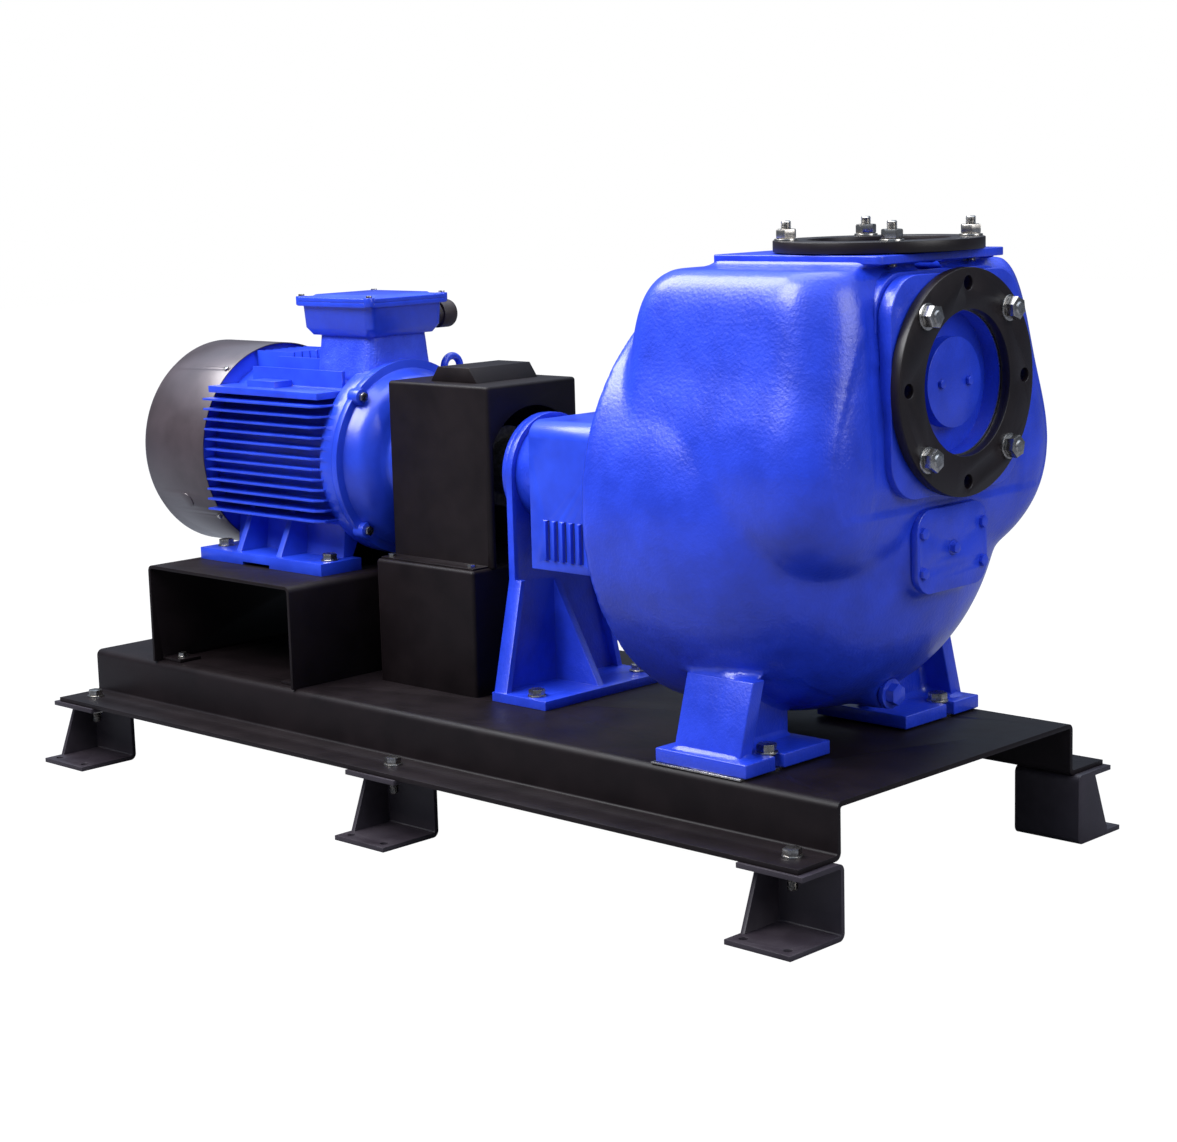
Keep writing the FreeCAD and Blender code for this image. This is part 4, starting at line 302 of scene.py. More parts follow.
class FinishRack:
    """Every finish of the pump set, built once."""

    def __init__(self) -> None:
        """Start with no material built."""
        self.built: dict[str, Material] = {}

    def take(self, finish: Paint | Metal) -> Material:
        """Return a finish's material, building it the first time."""
        if finish.name not in self.built:
            self.built[finish.name] = finish.build()
        return self.built[finish.name]

    def coat(self, piece: Object, finish: Paint | Metal) -> None:
        """Give a whole piece one finish.

        Args:
            piece: the object to dress.
            finish: the finish it takes.
        """
        piece.data.materials.clear()
        piece.data.materials.append(self.take(finish))


# Mesh helpers, each made of Blender's own operators


def leave_edit() -> None:
    """Go back to object mode."""
    bpy.ops.object.mode_set(mode="OBJECT")


def clear_selection() -> None:
    """Leave edit mode and deselect everything."""
    if bpy.context.object and bpy.context.object.mode == "EDIT":
        leave_edit()
    bpy.ops.object.select_all(action="DESELECT")


def hold(piece: Object) -> None:
    """Make one piece the only selected and active object."""
    clear_selection()
    piece.select_set(True)
    bpy.context.view_layer.objects.active = piece


def settle(piece: Object) -> Object:
    """Move a piece's place, turn and size into its mesh, so that its object sits at the origin."""
    hold(piece)
    bpy.ops.object.transform_apply(location=True, rotation=True, scale=True)
    return piece


def finish_modifiers(piece: Object) -> None:
    """Apply every modifier of a piece."""
    hold(piece)
    for modifier in list(piece.modifiers):
        bpy.ops.object.modifier_apply(modifier=modifier.name)


def soften(piece: Object, width_mm: float, segments: int = 2) -> None:
    """Round a piece's sharp edges and smooth its shading.

    Args:
        piece: the object.
        width_mm: width of the rounding.
        segments: faces across it.
    """
    if width_mm:
        bevel = piece.modifiers.new("edges", "BEVEL")
        bevel.width = width_mm * MM
        bevel.segments = segments
        bevel.limit_method = "ANGLE"
        bevel.angle_limit = math.radians(EDGE_DEGREES)
        finish_modifiers(piece)
    hold(piece)
    bpy.ops.object.shade_smooth_by_angle(angle=math.radians(SMOOTH_DEGREES))


def node_copy(node: str, name: str) -> Object:
    """Copy a CAD node's mesh into a new piece with its triangles joined up.

    Args:
        node: the CAD node.
        name: the new piece's name.

    Returns:
        The new piece, in the node's place.
    """
    source = bpy.data.objects[node]
    piece = bpy.data.objects.new(name, source.data.copy())
    bpy.context.scene.collection.objects.link(piece)
    hold(piece)
    bpy.ops.object.mode_set(mode="EDIT")
    bpy.ops.mesh.select_all(action="SELECT")
    bpy.ops.mesh.remove_doubles(threshold=1e-5)
    bpy.ops.mesh.dissolve_limited(angle_limit=math.radians(0.1))
    leave_edit()
    return piece


def block(name: str, low: Sequence[float], high: Sequence[float]) -> Object:
    """Add a block between two corners.

    Args:
        name: the piece's name.
        low: its lowest corner.
        high: its highest corner.

    Returns:
        The block, its place in its mesh.
    """
    clear_selection()
    centre = [(a + b) / 2 for a, b in zip(low, high)]
    size = [b - a for a, b in zip(low, high)]
    bpy.ops.mesh.primitive_cube_add(size=1.0, location=centre, scale=size)
    piece = bpy.context.object
    piece.name = name
    return settle(piece)


def drum(name: str, radius: float, start: Vector, end: Vector, sides: int) -> Object:
    """Add a round bar between two points.

    Args:
        name: the piece's name.
        radius: its radius.
        start: the middle of its first face.
        end: the middle of its last face.
        sides: number of sides.

    Returns:
        The bar, its place in its mesh.
    """
    clear_selection()
    along = end - start
    bpy.ops.mesh.primitive_cylinder_add(vertices=sides, radius=radius, depth=along.length,
                                        location=(start + end) / 2,
                                        rotation=along.to_track_quat("Z", "Y").to_euler())
    piece = bpy.context.object
    piece.name = name
    return settle(piece)


class Pick(Enum):
    """What edit mode picks, as Blender's select mode."""

    POINTS = (True, False, False)
    EDGES = (False, True, False)


def unpicked(piece: Object, pick: Pick) -> Mesh:
    """Hold a piece with none of its mesh selected, and return the mesh."""
    hold(piece)
    bpy.context.tool_settings.mesh_select_mode = pick.value
    for items in (piece.data.vertices, piece.data.edges, piece.data.polygons):
        items.foreach_set("select", [False] * len(items))
    return piece.data


def pick_points(piece: Object, wanted: Callable[[Vector], bool]) -> None:
    """Enter edit mode with just the wanted points selected.

    Args:
        piece: the object.
        wanted: a test of a point's place.
    """
    for point in unpicked(piece, Pick.POINTS).vertices:
        point.select = wanted(point.co)
    bpy.ops.object.mode_set(mode="EDIT")


def bevel_edges(piece: Object, wanted: Callable[[Vector, Vector], bool], width: float,
                segments: int = 2, profile: float = 0.5) -> None:
    """Bevel just the wanted edges.

    Args:
        piece: the object.
        wanted: a test of an edge's two ends.
        width: width of the bevel.
        segments: faces across it.
        profile: its shape, round at 0.5.
    """
    mesh = unpicked(piece, Pick.EDGES)
    for edge in mesh.edges:
        edge.select = wanted(*(mesh.vertices[k].co for k in edge.vertices))
    bpy.ops.object.mode_set(mode="EDIT")
    bpy.ops.mesh.bevel(offset=width, segments=segments, profile=profile, affect="EDGES")
    leave_edit()


def level_at(*heights: float) -> Callable[[Vector, Vector], bool]:
    """Return a test of whether an edge lies level at one of some heights."""
    return lambda a, b: any(abs(a.z - z) < WELD and abs(b.z - z) < WELD for z in heights)


def cut_away(piece: Object, tool: Object) -> None:
    """Cut a closed tool's shape out of a piece, and remove the tool."""
    hole = piece.modifiers.new("hole", "BOOLEAN")
    hole.operation = "DIFFERENCE"
    hole.solver = "EXACT"
    hole.use_self = True
    hole.object = tool
    finish_modifiers(piece)
    bpy.data.objects.remove(tool)


def fold_in(name: str, parts: Sequence[Object]) -> Object:
    """Join several pieces into one.

    Args:
        name: the joined piece's name.
        parts: what it is made of.

    Returns:
        The joined piece.
    """
    clear_selection()
    for part in parts:
        part.select_set(True)
    bpy.context.view_layer.objects.active = parts[0]
    if len(parts) > 1:
        bpy.ops.object.join()
    piece = bpy.context.view_layer.objects.active
    piece.name = name
    return piece


def wire(name: str, places: Sequence[Sequence[float]]) -> Object:
    """Add a closed loop of edges through some places, and leave it selected in edit mode."""
    clear_selection()
    bpy.ops.mesh.primitive_circle_add(vertices=len(places), radius=0.1, fill_type="NOTHING")
    piece = bpy.context.object
    piece.name = name
    for point, place in zip(piece.data.vertices, places):
        point.co = place
    pick_points(piece, lambda place: True)
    return piece


def turned_piece(name: str, profile: Sequence[Sequence[float]], centre: Vector, axis: Vector,
                 steps: int) -> Object:
    """Spin a closed profile about a line.

    Args:
        name: the piece's name.
        profile: its corners, closed back to the first.
        centre: a point on the line.
        axis: the line's direction.
        steps: faces round the turn.

    Returns:
        The turned piece, its faces turned outwards.
    """
    piece = wire(name, profile)
    bpy.ops.mesh.spin(steps=steps, angle=2 * math.pi, center=centre, axis=axis)
    bpy.ops.mesh.select_all(action="SELECT")
    bpy.ops.mesh.remove_doubles(threshold=WELD)
    bpy.ops.mesh.normals_make_consistent(inside=False)
    leave_edit()
    return piece


def slab(name: str, outline: Sequence[Vector], push: Vector) -> Object:
    """Fill an outline and extrude it.

    Args:
        name: the piece's name.
        outline: its corners in order.
        push: how far and which way it is extruded.

    Returns:
        The slab, its faces turned outwards.
    """
    piece = wire(name, outline)
    bpy.ops.mesh.edge_face_add()
    bpy.ops.mesh.extrude_region_move(TRANSFORM_OT_translate={"value": push})
    bpy.ops.mesh.select_all(action="SELECT")
    bpy.ops.mesh.normals_make_consistent(inside=False)
    leave_edit()
    return settle(piece)


def rounded_outline(centre: Vector, along: Vector, across: Vector, half_a: float, half_b: float,
                    corner: float) -> list[Vector]:
    """Return the corners of a rectangle whose four corners are round.

    Args:
        centre: its middle.
        along: unit vector of its first direction.
        across: unit vector of its second direction.
        half_a: half its size along the first.
        half_b: half its size along the second.
        corner: radius of its corners.

    Returns:
        The points in order.
    """
    points = []
    for quarter, (sa, sb) in enumerate(((1, 1), (-1, 1), (-1, -1), (1, -1))):
        for step in range(CORNER_STEPS + 1):
            angle = math.radians(90.0 * (quarter + step / CORNER_STEPS))
            points.append(centre + along * (sa * (half_a - corner) + corner * math.cos(angle))
                          + across * (sb * (half_b - corner) + corner * math.sin(angle)))
    return points


def stand(piece: Object, seat: Vector, way: Vector, twist: float = 0.0) -> Object:
    """Stand a piece that was modelled pointing up on its seat.

    Args:
        piece: the object.
        seat: where its origin goes.
        way: the direction it points in.
        twist: its turn about itself, in degrees.

    Returns:
        The piece, its place in its mesh.
    """
    turn = way.to_track_quat("Z", "Y").to_matrix().to_4x4()
    piece.matrix_world = Matrix.Translation(seat) @ turn @ Matrix.Rotation(math.radians(twist), 4, "Z")
    return settle(piece)


def threaded_bar(name: str, radius: float, start: Vector, end: Vector, pitch: float) -> Object:
    """Spin a toothed profile into a bar with thread crests and chamfered ends.

    Args:
        name: the piece's name.
        radius: radius over the crests.
        start: the middle of its first end.
        end: the middle of its last end.
        pitch: from crest to crest.

    Returns:
        The bar, its place in its mesh.
    """
    length = (end - start).length
    root = radius - 0.55 * pitch
    rim = root - 0.3 * pitch
    turns = max(2, round((length - pitch) / pitch))
    profile = [(0.0, 0.0, 0.0), (rim, 0.0, 0.0)]
    for number in range(turns):
        rise = 0.5 * pitch + number * (length - pitch) / turns
        profile += [(root, 0.0, rise), (radius, 0.0, rise + 0.5 * (length - pitch) / turns)]
    profile += [(root, 0.0, length - 0.5 * pitch), (rim, 0.0, length), (0.0, 0.0, length)]
    bar = turned_piece(name, profile, Vector((0, 0, 0)), Axis.UP.value, steps=20)
    return stand(bar, start, end - start)


def loose_boxes(node: str) -> list[tuple[Vector, Vector]]:
    """Return the lowest and highest corner of each separate solid of a CAD node."""
    scratch = node_copy(node, "scratch")
    hold(scratch)
    bpy.ops.object.mode_set(mode="EDIT")
    bpy.ops.mesh.select_all(action="SELECT")
    bpy.ops.mesh.separate(type="LOOSE")
    leave_edit()
    boxes = []
    for part in list(bpy.context.selected_objects):
        places = [point.co for point in part.data.vertices]
        low = Vector(tuple(min(p[k] for p in places) for k in range(3)))
        high = Vector(tuple(max(p[k] for p in places) for k in range(3)))
        boxes.append((low, high))
        bpy.data.objects.remove(part)
    return boxes


class Head(Enum):
    """What a fastener carries on its end, as its height in shank radii."""

    BOLT = 1.3
    NUT = 1.6


@dataclass(frozen=True)
class HexFastener:
    """A hexagon bolt or nut, whose sizes from washer on are in shank radii."""

    radius: float
    head: Head
    shank: float = 0.0
    thread: float = 0.0
    washer: float = 0.35
    flats: float = 3.1
    washer_reach: float = 2.0
    chamfer: float = 0.24
    pitch: float = 0.21

    def model(self) -> Object:
        """Model the fastener standing on z = 0 with its head up."""
        size = self.radius
        base = Vector((0, 0, self.washer * size))
        top = Vector((0, 0, self.washer * size + self.head.value * size))
        hexagon = drum("hexagon", self.flats * size / math.sqrt(3), base, top, 6)
        ends = (top.z,) if self.head is Head.BOLT else (base.z, top.z)
        bevel_edges(hexagon, level_at(*ends), self.chamfer * size, profile=0.55)
        parts = [hexagon]
        if self.washer:
            disc = drum("washer", self.washer_reach * size, Vector((0, 0, 0)), base, 32)
            bevel_edges(disc, level_at(base.z), 0.3 * base.z)
            parts.append(disc)
        plain = self.shank - self.thread
        if plain > 0:
            parts.append(drum("shank", 0.97 * size, Vector((0, 0, -plain)), base, 20))
        if self.thread:
            parts.append(threaded_bar("thread", size, Vector((0, 0, -self.shank)), Vector((0, 0, -plain)),
                                      self.pitch * size))
        return fold_in("fastener", parts)


@dataclass
class Hardware:
    """A CAD node of bolts, screws and nuts, each rebuilt in its place with chamfers and threads.

    Widths of washer and plain head, and the length under which a solid is a nut, are in shank radii.
    """

    node: str
    axis: Axis = Axis.UP
    washered: bool = True
    finish: Paint | Metal = ZINC_PLATE
    twist: float = 17.0
    ending: str = "rebuilt"
    washer_width: float = 4.0
    head_width: float = 3.2
    nut_length: float = 2.3

    def one(self, number: int, low: Vector, high: Vector) -> Object:
        """Build one fastener, a nut where its CAD solid is short.

        Args:
            number: which of the node's solids it is.
            low: the solid's lowest corner.
            high: its highest corner.

        Returns:
            The fastener.
        """
        way = self.axis.value
        length = abs((high - low).dot(way))
        across = min((high - low)[k] for k in range(3) if abs(way[k]) < 0.5)
        radius = across / (self.washer_width if self.washered else self.head_width)
        head = Head.NUT if length < self.nut_length * radius else Head.BOLT
        washer = HexFastener.washer if self.washered else 0.0
        shank = 0.0 if head is Head.NUT else length - (washer + head.value) * radius
        fastener = HexFastener(radius, head, shank, min(2.2 * radius, 0.6 * shank), washer,
                               HexFastener.flats if self.washered else self.head_width)
        facing = -way if head is Head.NUT else way
        seat = (low + high) / 2 - facing * (length / 2 - shank)
        return stand(fastener.model(), seat, facing, self.twist * number)

    def build(self, rack: FinishRack, body: str) -> None:
        """Build every fastener of the node at its CAD place, as one piece.

        Args:
            rack: where finishes come from.
            body: the CAD body that they ride on.
        """
        parts = [self.one(number, *corners) for number, corners in enumerate(loose_boxes(self.node))]
        piece = fold_in(f"{self.node}_{self.ending}", parts)
        soften(piece, 0.0)
        rack.coat(piece, self.finish)
        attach(piece, body)
        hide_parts(self.node)
        log.info("hardware %s: %d pieces", self.node, len(parts))


@dataclass
class FlangeStuds(Hardware):
    """The threaded studs of both ports."""

    node: str = "flange_studs"
    ending: str = "threaded"
    pitch: float = 0.0022

    def one(self, number: int, low: Vector, high: Vector) -> Object:
        """Build a threaded bar in place of one stud."""
        size = high - low
        way = Axis.FRONT.value if size.x > size.z else Axis.UP.value
        reach = way * (max(size.x, size.z) / 2)
        middle = (low + high) / 2
        return threaded_bar(f"stud_{number}", min(size) / 2, middle - reach, middle + reach, self.pitch)


@dataclass
class FlangeNuts(Hardware):
    """The nuts and washers on both ports' studs, the top port's a little larger than in the CAD."""

    node: str = "flange_nuts"
    ending: str = "chamfered"
    twist: float = 23.0
    top_growth: float = 1.14

    def one(self, number: int, low: Vector, high: Vector) -> Object:
        """Build a chamfered nut over its washer."""
        size = high - low
        on_front = size.x < size.z
        way = Axis.FRONT.value if on_front else Axis.UP.value
        radius = size.y / self.washer_width * (1.0 if on_front else self.top_growth)
        seat = (low + high) / 2 - way * (min(size.x, size.z) / 2)
        return stand(HexFastener(radius, Head.NUT).model(), seat, way, self.twist * number)


FAR_OFF = 9.0       # an open end of a zone
FINE_SIDES = 96     # round a bore or bowl that is seen close up


@dataclass(frozen=True)
class Zone:
    """A box-shaped part of the casing, whose y counts to either side of the middle unless one_sided."""

    x: tuple[float, float] = (-FAR_OFF, FAR_OFF)
    y: tuple[float, float] = (-FAR_OFF, FAR_OFF)
    z: tuple[float, float] = (-FAR_OFF, FAR_OFF)
    one_sided: bool = False

    def holds(self, place: Vector) -> bool:
        """Tell whether a point lies inside."""
        across = place.y if self.one_sided else abs(place.y)
        return all(low < value < high for value, (low, high) in
                   ((place.x, self.x), (across, self.y), (place.z, self.z)))


@dataclass
class CastCasing:
    """The pump casing as one cast skin, its joints blended as a foundry leaves them.

    The zones in covered are where crisp legs, feet, top pad, suction pad and bare boss lie over it.
    """

    node: str = "pump_casing"
    voxel: float = 0.0068
    rounds: int = 7
    blend_rounds: int = 9
    draw: float = 0.0022
    pad_gap: float = 0.001
    nose_r: float = 0.10
    covered: tuple[Zone, ...] = (Zone(x=(0.56, 0.74), y=(0.09, FAR_OFF), z=(-FAR_OFF, 0.338)),
                                 Zone(z=(-FAR_OFF, 0.2315)),
                                 Zone(z=(0.9585, FAR_OFF)),
                                 Zone(x=(0.886, FAR_OFF), z=(0.60, FAR_OFF)),
                                 Zone(x=(0.866, FAR_OFF), y=(0.182, 0.252), z=(0.615, 0.675),
                                      one_sided=True))
    round_port: Zone = Zone(x=(0.83, FAR_OFF), y=(-FAR_OFF, 0.190), z=(0.598, 0.958))
    fillet: Zone = Zone(x=(0.50, FAR_OFF), z=(0.40, 0.66))
    cover_boss: Zone = Zone(x=(0.80, FAR_OFF), y=(-FAR_OFF, 0.13), z=(0.44, FAR_OFF))
    front_wall: tuple[tuple[float, float], ...] = ((0.598, 0.892), (0.639, 0.898), (0.739, 0.896),
                                                   (0.913, 0.876), (0.941, 0.864), (0.955, 0.851))

    def build(self, rack: FinishRack) -> Object:
        """Build the casing's skin from the CAD outline.

        Args:
            rack: where finishes come from.

        Returns:
            The casing.
        """
        piece = node_copy(self.node, "casing_casting")
        skin = piece.modifiers.new("skin", "REMESH")
        skin.mode = "VOXEL"
        skin.voxel_size = self.voxel
        skin.use_smooth_shade = True
        relax = piece.modifiers.new("relax", "SMOOTH")
        relax.factor = 0.5
        relax.iterations = self.rounds
        finish_modifiers(piece)
        self.blend(piece)
        self.press_back(piece)
        self.draw_in(piece)
        hold(piece)
        bpy.ops.object.shade_smooth()
        rack.coat(piece, CAST_ENAMEL)
        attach(piece, "frame")
        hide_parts(self.node)
        log.info("casing skin: %d faces", len(piece.data.polygons))
        return piece

    def in_fillet(self, place: Vector) -> bool:
        """Tell whether a point lies where the chamber grows out of the drum, clear of the bosses."""
        radius = math.hypot(place.y, place.z - SHAFT_Z)
        return self.fillet.holds(place) and not self.cover_boss.holds(place) and radius > self.nose_r

    def blend(self, piece: Object) -> None:
        """Smooth the wide fillet between drum and chamber."""
        zone = piece.vertex_groups.new(name="fillet")
        zone.add([v.index for v in piece.data.vertices if self.in_fillet(v.co)], 1.0, "REPLACE")
        relax = piece.modifiers.new("fillet", "SMOOTH")
        relax.factor = 0.6
        relax.iterations = self.blend_rounds
        relax.vertex_group = zone.name
        finish_modifiers(piece)

    def wall_at(self, height: float) -> float:
        """Return how far forward the chamber's front wall lies at a height."""
        rows = self.front_wall
        for (low, x_low), (high, x_high) in zip(rows, rows[1:]):
            if height <= high:
                return x_low + (x_high - x_low) * (height - low) / (high - low)
        return rows[-1][1]

    def press_back(self, piece: Object) -> None:
        """Press the skin back to the front wall round the port, so that the stepped pad stands proud."""
        for point in piece.data.vertices:
            place = point.co
            if self.round_port.holds(place):
                place.x = min(place.x, self.wall_at(place.z) - self.pad_gap)

    def draw_in(self, piece: Object) -> None:
        """Draw the skin in where the crisp pieces cover it."""
        pick_points(piece, lambda place: any(zone.holds(place) for zone in self.covered))
        bpy.ops.transform.shrink_fatten(value=-self.draw)
        leave_edit()


@dataclass
class CasingEdges:
    """The casing's machined and sharply moulded edges: feet, pads, bare boss and the port's skimmed face.

    A notch is (x, y, radius), a step of the suction pad (x, depth, half its size), and the outlines of a
    leg's web and brace are points of (y, z).
    """

    foot: tuple[float, float] = (0.555, 0.737)
    reach: tuple[float, float] = (0.098, 0.300)
    low: float = 0.206
    high: float = 0.228
    notch: tuple[float, float, float] = (0.711, 0.220, 0.010)
    web: tuple[float, float] = (0.581, 0.713)
    web_outline: tuple[tuple[float, float], ...] = ((0.286, 0.227), (0.258, 0.227), (0.224, 0.342),
                                                    (0.252, 0.342))
    brace: tuple[float, float] = (0.63644, 0.66044)
    brace_outline: tuple[tuple[float, float], ...] = ((0.276, 0.227), (0.106, 0.227), (0.106, 0.282),
                                                      (0.240, 0.340))
    top_centre: tuple[float, float, float] = (0.724, 0.0, 0.9605)
    top_half: tuple[float, float] = (0.160, 0.158)
    top_corner: float = 0.010
    top_thick: float = 0.0125
    steps: tuple[tuple[float, float, float], ...] = ((0.8855, 0.0215, 0.164), (0.8805, 0.006, 0.1615),
                                                     (0.845, 0.036, 0.1675))
    step_corner: float = 0.062
    boss: tuple[tuple[float, float, float], ...] = ((0.866, 0.188, 0.622), (0.886, 0.246, 0.669))
    port_z: float = 0.780
    port_r: float = 0.1072
    outlet_x: float = 0.762
    face: tuple[float, float] = (0.9071, 0.9087)
    face_r: tuple[float, float] = (0.1068, 0.1105)

    def foot_outline(self, side: Side) -> list[Vector]:
        """Return the foot's outline with its open bolt notch."""
        x0, x1 = self.foot
        inner, outer = self.reach
        notch_x, notch_y, notch_r = self.notch
        row = [(x0, inner), (x0, outer), (x1, outer), (x1, notch_y + notch_r)]
        for step in range(9):
            angle = math.radians(90.0 + 180.0 * step / 8)
            row.append((notch_x + notch_r * math.cos(angle), notch_y + notch_r * math.sin(angle)))
        row += [(x1, notch_y - notch_r), (x1, inner)]
        return [Vector((x, side.value * y, self.low)) for x, y in row]

    def leg(self, side: Side) -> Object:
        """Model one leg: notched foot, leaning web and cross brace."""
        parts = [slab("foot", self.foot_outline(side), Vector((0, 0, self.high - self.low)))]
        for name, (start, end), outline in (("web", self.web, self.web_outline),
                                            ("brace", self.brace, self.brace_outline)):
            parts.append(slab(name, [Vector((start, side.value * y, z)) for y, z in outline],
                              Vector((end - start, 0, 0))))
        for part in parts:
            soften(part, 2.2, segments=3)
        return fold_in(f"casing_leg_{side.name.lower()}", parts)

    def pads(self) -> Object:
        """Model the top pad, the stepped suction pad and the bare boss, with both ports cut through."""
        front, level, upright = Axis.FRONT.value, Axis.FAR.value, Axis.UP.value
        top = slab("top", rounded_outline(Vector(self.top_centre), front, level, *self.top_half,
                                          self.top_corner), upright * self.top_thick)
        rings = [slab("step", rounded_outline(Vector((x, 0, self.port_z)), level, upright, half, half,
                                              self.step_corner), front * depth)
                 for x, depth, half in self.steps]
        parts = [top, block("boss", *self.boss)] + rings
        for part in parts:
            soften(part, 1.6, segments=3)
        pads = fold_in("casing_pads", parts)
        cut_away(pads, drum("bore", self.port_r, Vector((0.80, 0, self.port_z)),
                            Vector((0.95, 0, self.port_z)), FINE_SIDES))
        cut_away(pads, drum("outlet", self.port_r, Vector((self.outlet_x, 0, 0.93)),
                            Vector((self.outlet_x, 0, 0.99)), FINE_SIDES))
        soften(pads, 0.0)
        return pads

    def port_face(self) -> Object:
        """Model the strip of skimmed iron that shows between ring and port."""
        inner, outer = self.face_r
        start, end = (Vector((x, 0, self.port_z)) for x in self.face)
        strip = drum("port_face", outer, start, end, FINE_SIDES)
        cut_away(strip, drum("port_bore", inner, Vector((0.90, 0, self.port_z)),
                             Vector((0.92, 0, self.port_z)), FINE_SIDES))
        soften(strip, 0.0)
        return strip

    def build(self, rack: FinishRack) -> None:
        """Build the crisp pieces over the casing's soft skin.

        Args:
            rack: where finishes come from.
        """
        for piece in (self.leg(Side.NEAR), self.leg(Side.FAR), self.pads()):
            rack.coat(piece, CAST_ENAMEL)
            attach(piece, "frame")
        face = self.port_face()
        rack.coat(face, TURNED_STEEL)
        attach(face, "frame")


@dataclass
class ShieldBowl:
    """The motor shield's rounded bowl, turned through stations of (x, radius) over the CAD shield."""

    skin: float = 0.0004
    wall: float = 0.003
    stations: tuple[tuple[float, float], ...] = ((-0.3162, 0.1640), (-0.3053, 0.1590), (-0.2867, 0.1480),
                                                 (-0.2744, 0.1280), (-0.2641, 0.1040), (-0.2476, 0.0960),
                                                 (-0.2310, 0.0880))
    steps: int = 6

    def sweep(self) -> list[tuple[float, float]]:
        """Return the bowl's outline as a smooth curve through its stations."""
        ends = [self.stations[0], *self.stations, self.stations[-1]]
        curve = []
        for before, start, end, after in zip(ends, ends[1:], ends[2:], ends[3:]):
            for step in range(self.steps):
                u = step / self.steps
                curve.append(tuple(0.5 * (2 * b + (c - a) * u + (2 * a - 5 * b + 4 * c - d) * u * u
                                          + (3 * b - a - 3 * c + d) * u ** 3)
                                   for a, b, c, d in zip(before, start, end, after)))
        return curve + [self.stations[-1]]

    def build(self, rack: FinishRack) -> None:
        """Build the bowl.

        Args:
            rack: where finishes come from.
        """
        curve = self.sweep()
        outer = [(x + self.skin, 0.0, SHAFT_Z + (radius + self.skin)) for x, radius in curve]
        inner = [(x - self.wall, 0.0, SHAFT_Z + (radius - self.wall)) for x, radius in reversed(curve)]
        bowl = turned_piece("shield_bowl", outer + inner, Vector((0, 0, SHAFT_Z)), Axis.FRONT.value,
                            FINE_SIDES)
        soften(bowl, 0.0)
        rack.coat(bowl, SMOOTH_ENAMEL)
        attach(bowl, "frame")


@dataclass
class TerminalNeck:
    """The cast neck under the terminal box, half its size as bottom and top, and the ears of the lid."""

    centre_x: float = -0.408
    low: float = 0.692
    high: float = 0.8152
    bottom: tuple[float, float] = (0.0778, 0.0905)
    top: tuple[float, float] = (0.0768, 0.0728)
    corner: float = 0.024
    pit_width: float = 0.011
    pit_depth: float = 0.0016
    ear_r: float = 0.0112
    ear_place: tuple[float, float] = (0.0945, 0.0885)
    ear_z: tuple[float, float] = (0.8702, 0.8862)

    def neck(self) -> Object:
        """Model the tapered neck with its pitted skin."""
        half_x, half_y = self.bottom
        neck = block("terminal_neck", (self.centre_x - half_x, -half_y, self.low),
                     (self.centre_x + half_x, half_y, self.high))
        pick_points(neck, lambda place: place.z > (self.low + self.high) / 2)
        bpy.ops.transform.resize(value=(self.top[0] / half_x, self.top[1] / half_y, 1.0),
                                 center_override=(self.centre_x, 0.0, self.high))
        leave_edit()
        bevel_edges(neck, lambda a, b: abs(a.z - b.z) > 0.05, self.corner, segments=6)
        bpy.ops.object.mode_set(mode="EDIT")
        bpy.ops.mesh.select_all(action="SELECT")
        bpy.ops.mesh.subdivide(number_cuts=5)
        leave_edit()
        pits = bpy.data.textures.new("mould_pits", "CLOUDS")
        pits.noise_scale = self.pit_width
        pitted = neck.modifiers.new("pits", "DISPLACE")
        pitted.texture = pits
        pitted.strength = self.pit_depth
        pitted.mid_level = 0.6
        finish_modifiers(neck)
        soften(neck, 0.0)
        return neck

    def ears(self) -> Object:
        """Model the round ears on the lid's four corners."""
        along, across = self.ear_place
        low, high = self.ear_z
        ears = []
        for a, b in ((-1, -1), (-1, 1), (1, -1), (1, 1)):
            x, y = self.centre_x + a * along, b * across
            ears.append(drum("ear", self.ear_r, Vector((x, y, low)), Vector((x, y, high)), 28))
            soften(ears[-1], 1.0)
        return fold_in("terminal_lid_ears", ears)

    def build(self, rack: FinishRack) -> None:
        """Build the neck and the lid's ears.

        Args:
            rack: where finishes come from.
        """
        for piece, finish in ((self.neck(), ROUGH_ENAMEL), (self.ears(), SMOOTH_ENAMEL)):
            rack.coat(piece, finish)
            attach(piece, "frame")


@dataclass(frozen=True)
class Softbox:
    """One square area lamp: where it hangs, the point it faces, its side and its power."""

    name: str
    place: tuple[float, float, float]
    aim: tuple[float, float, float]
    side: float
    watts: float

    def hang(self) -> None:
        """Hang the lamp."""
        lamp = bpy.data.lights.new(self.name, "AREA")
        lamp.size = self.side
        lamp.energy = self.watts
        holder = bpy.data.objects.new(self.name, lamp)
        bpy.context.scene.collection.objects.link(holder)
        holder.location = self.place
        holder.rotation_euler = (Vector(self.aim) - Vector(self.place)).to_track_quat("-Z", "Y").to_euler()


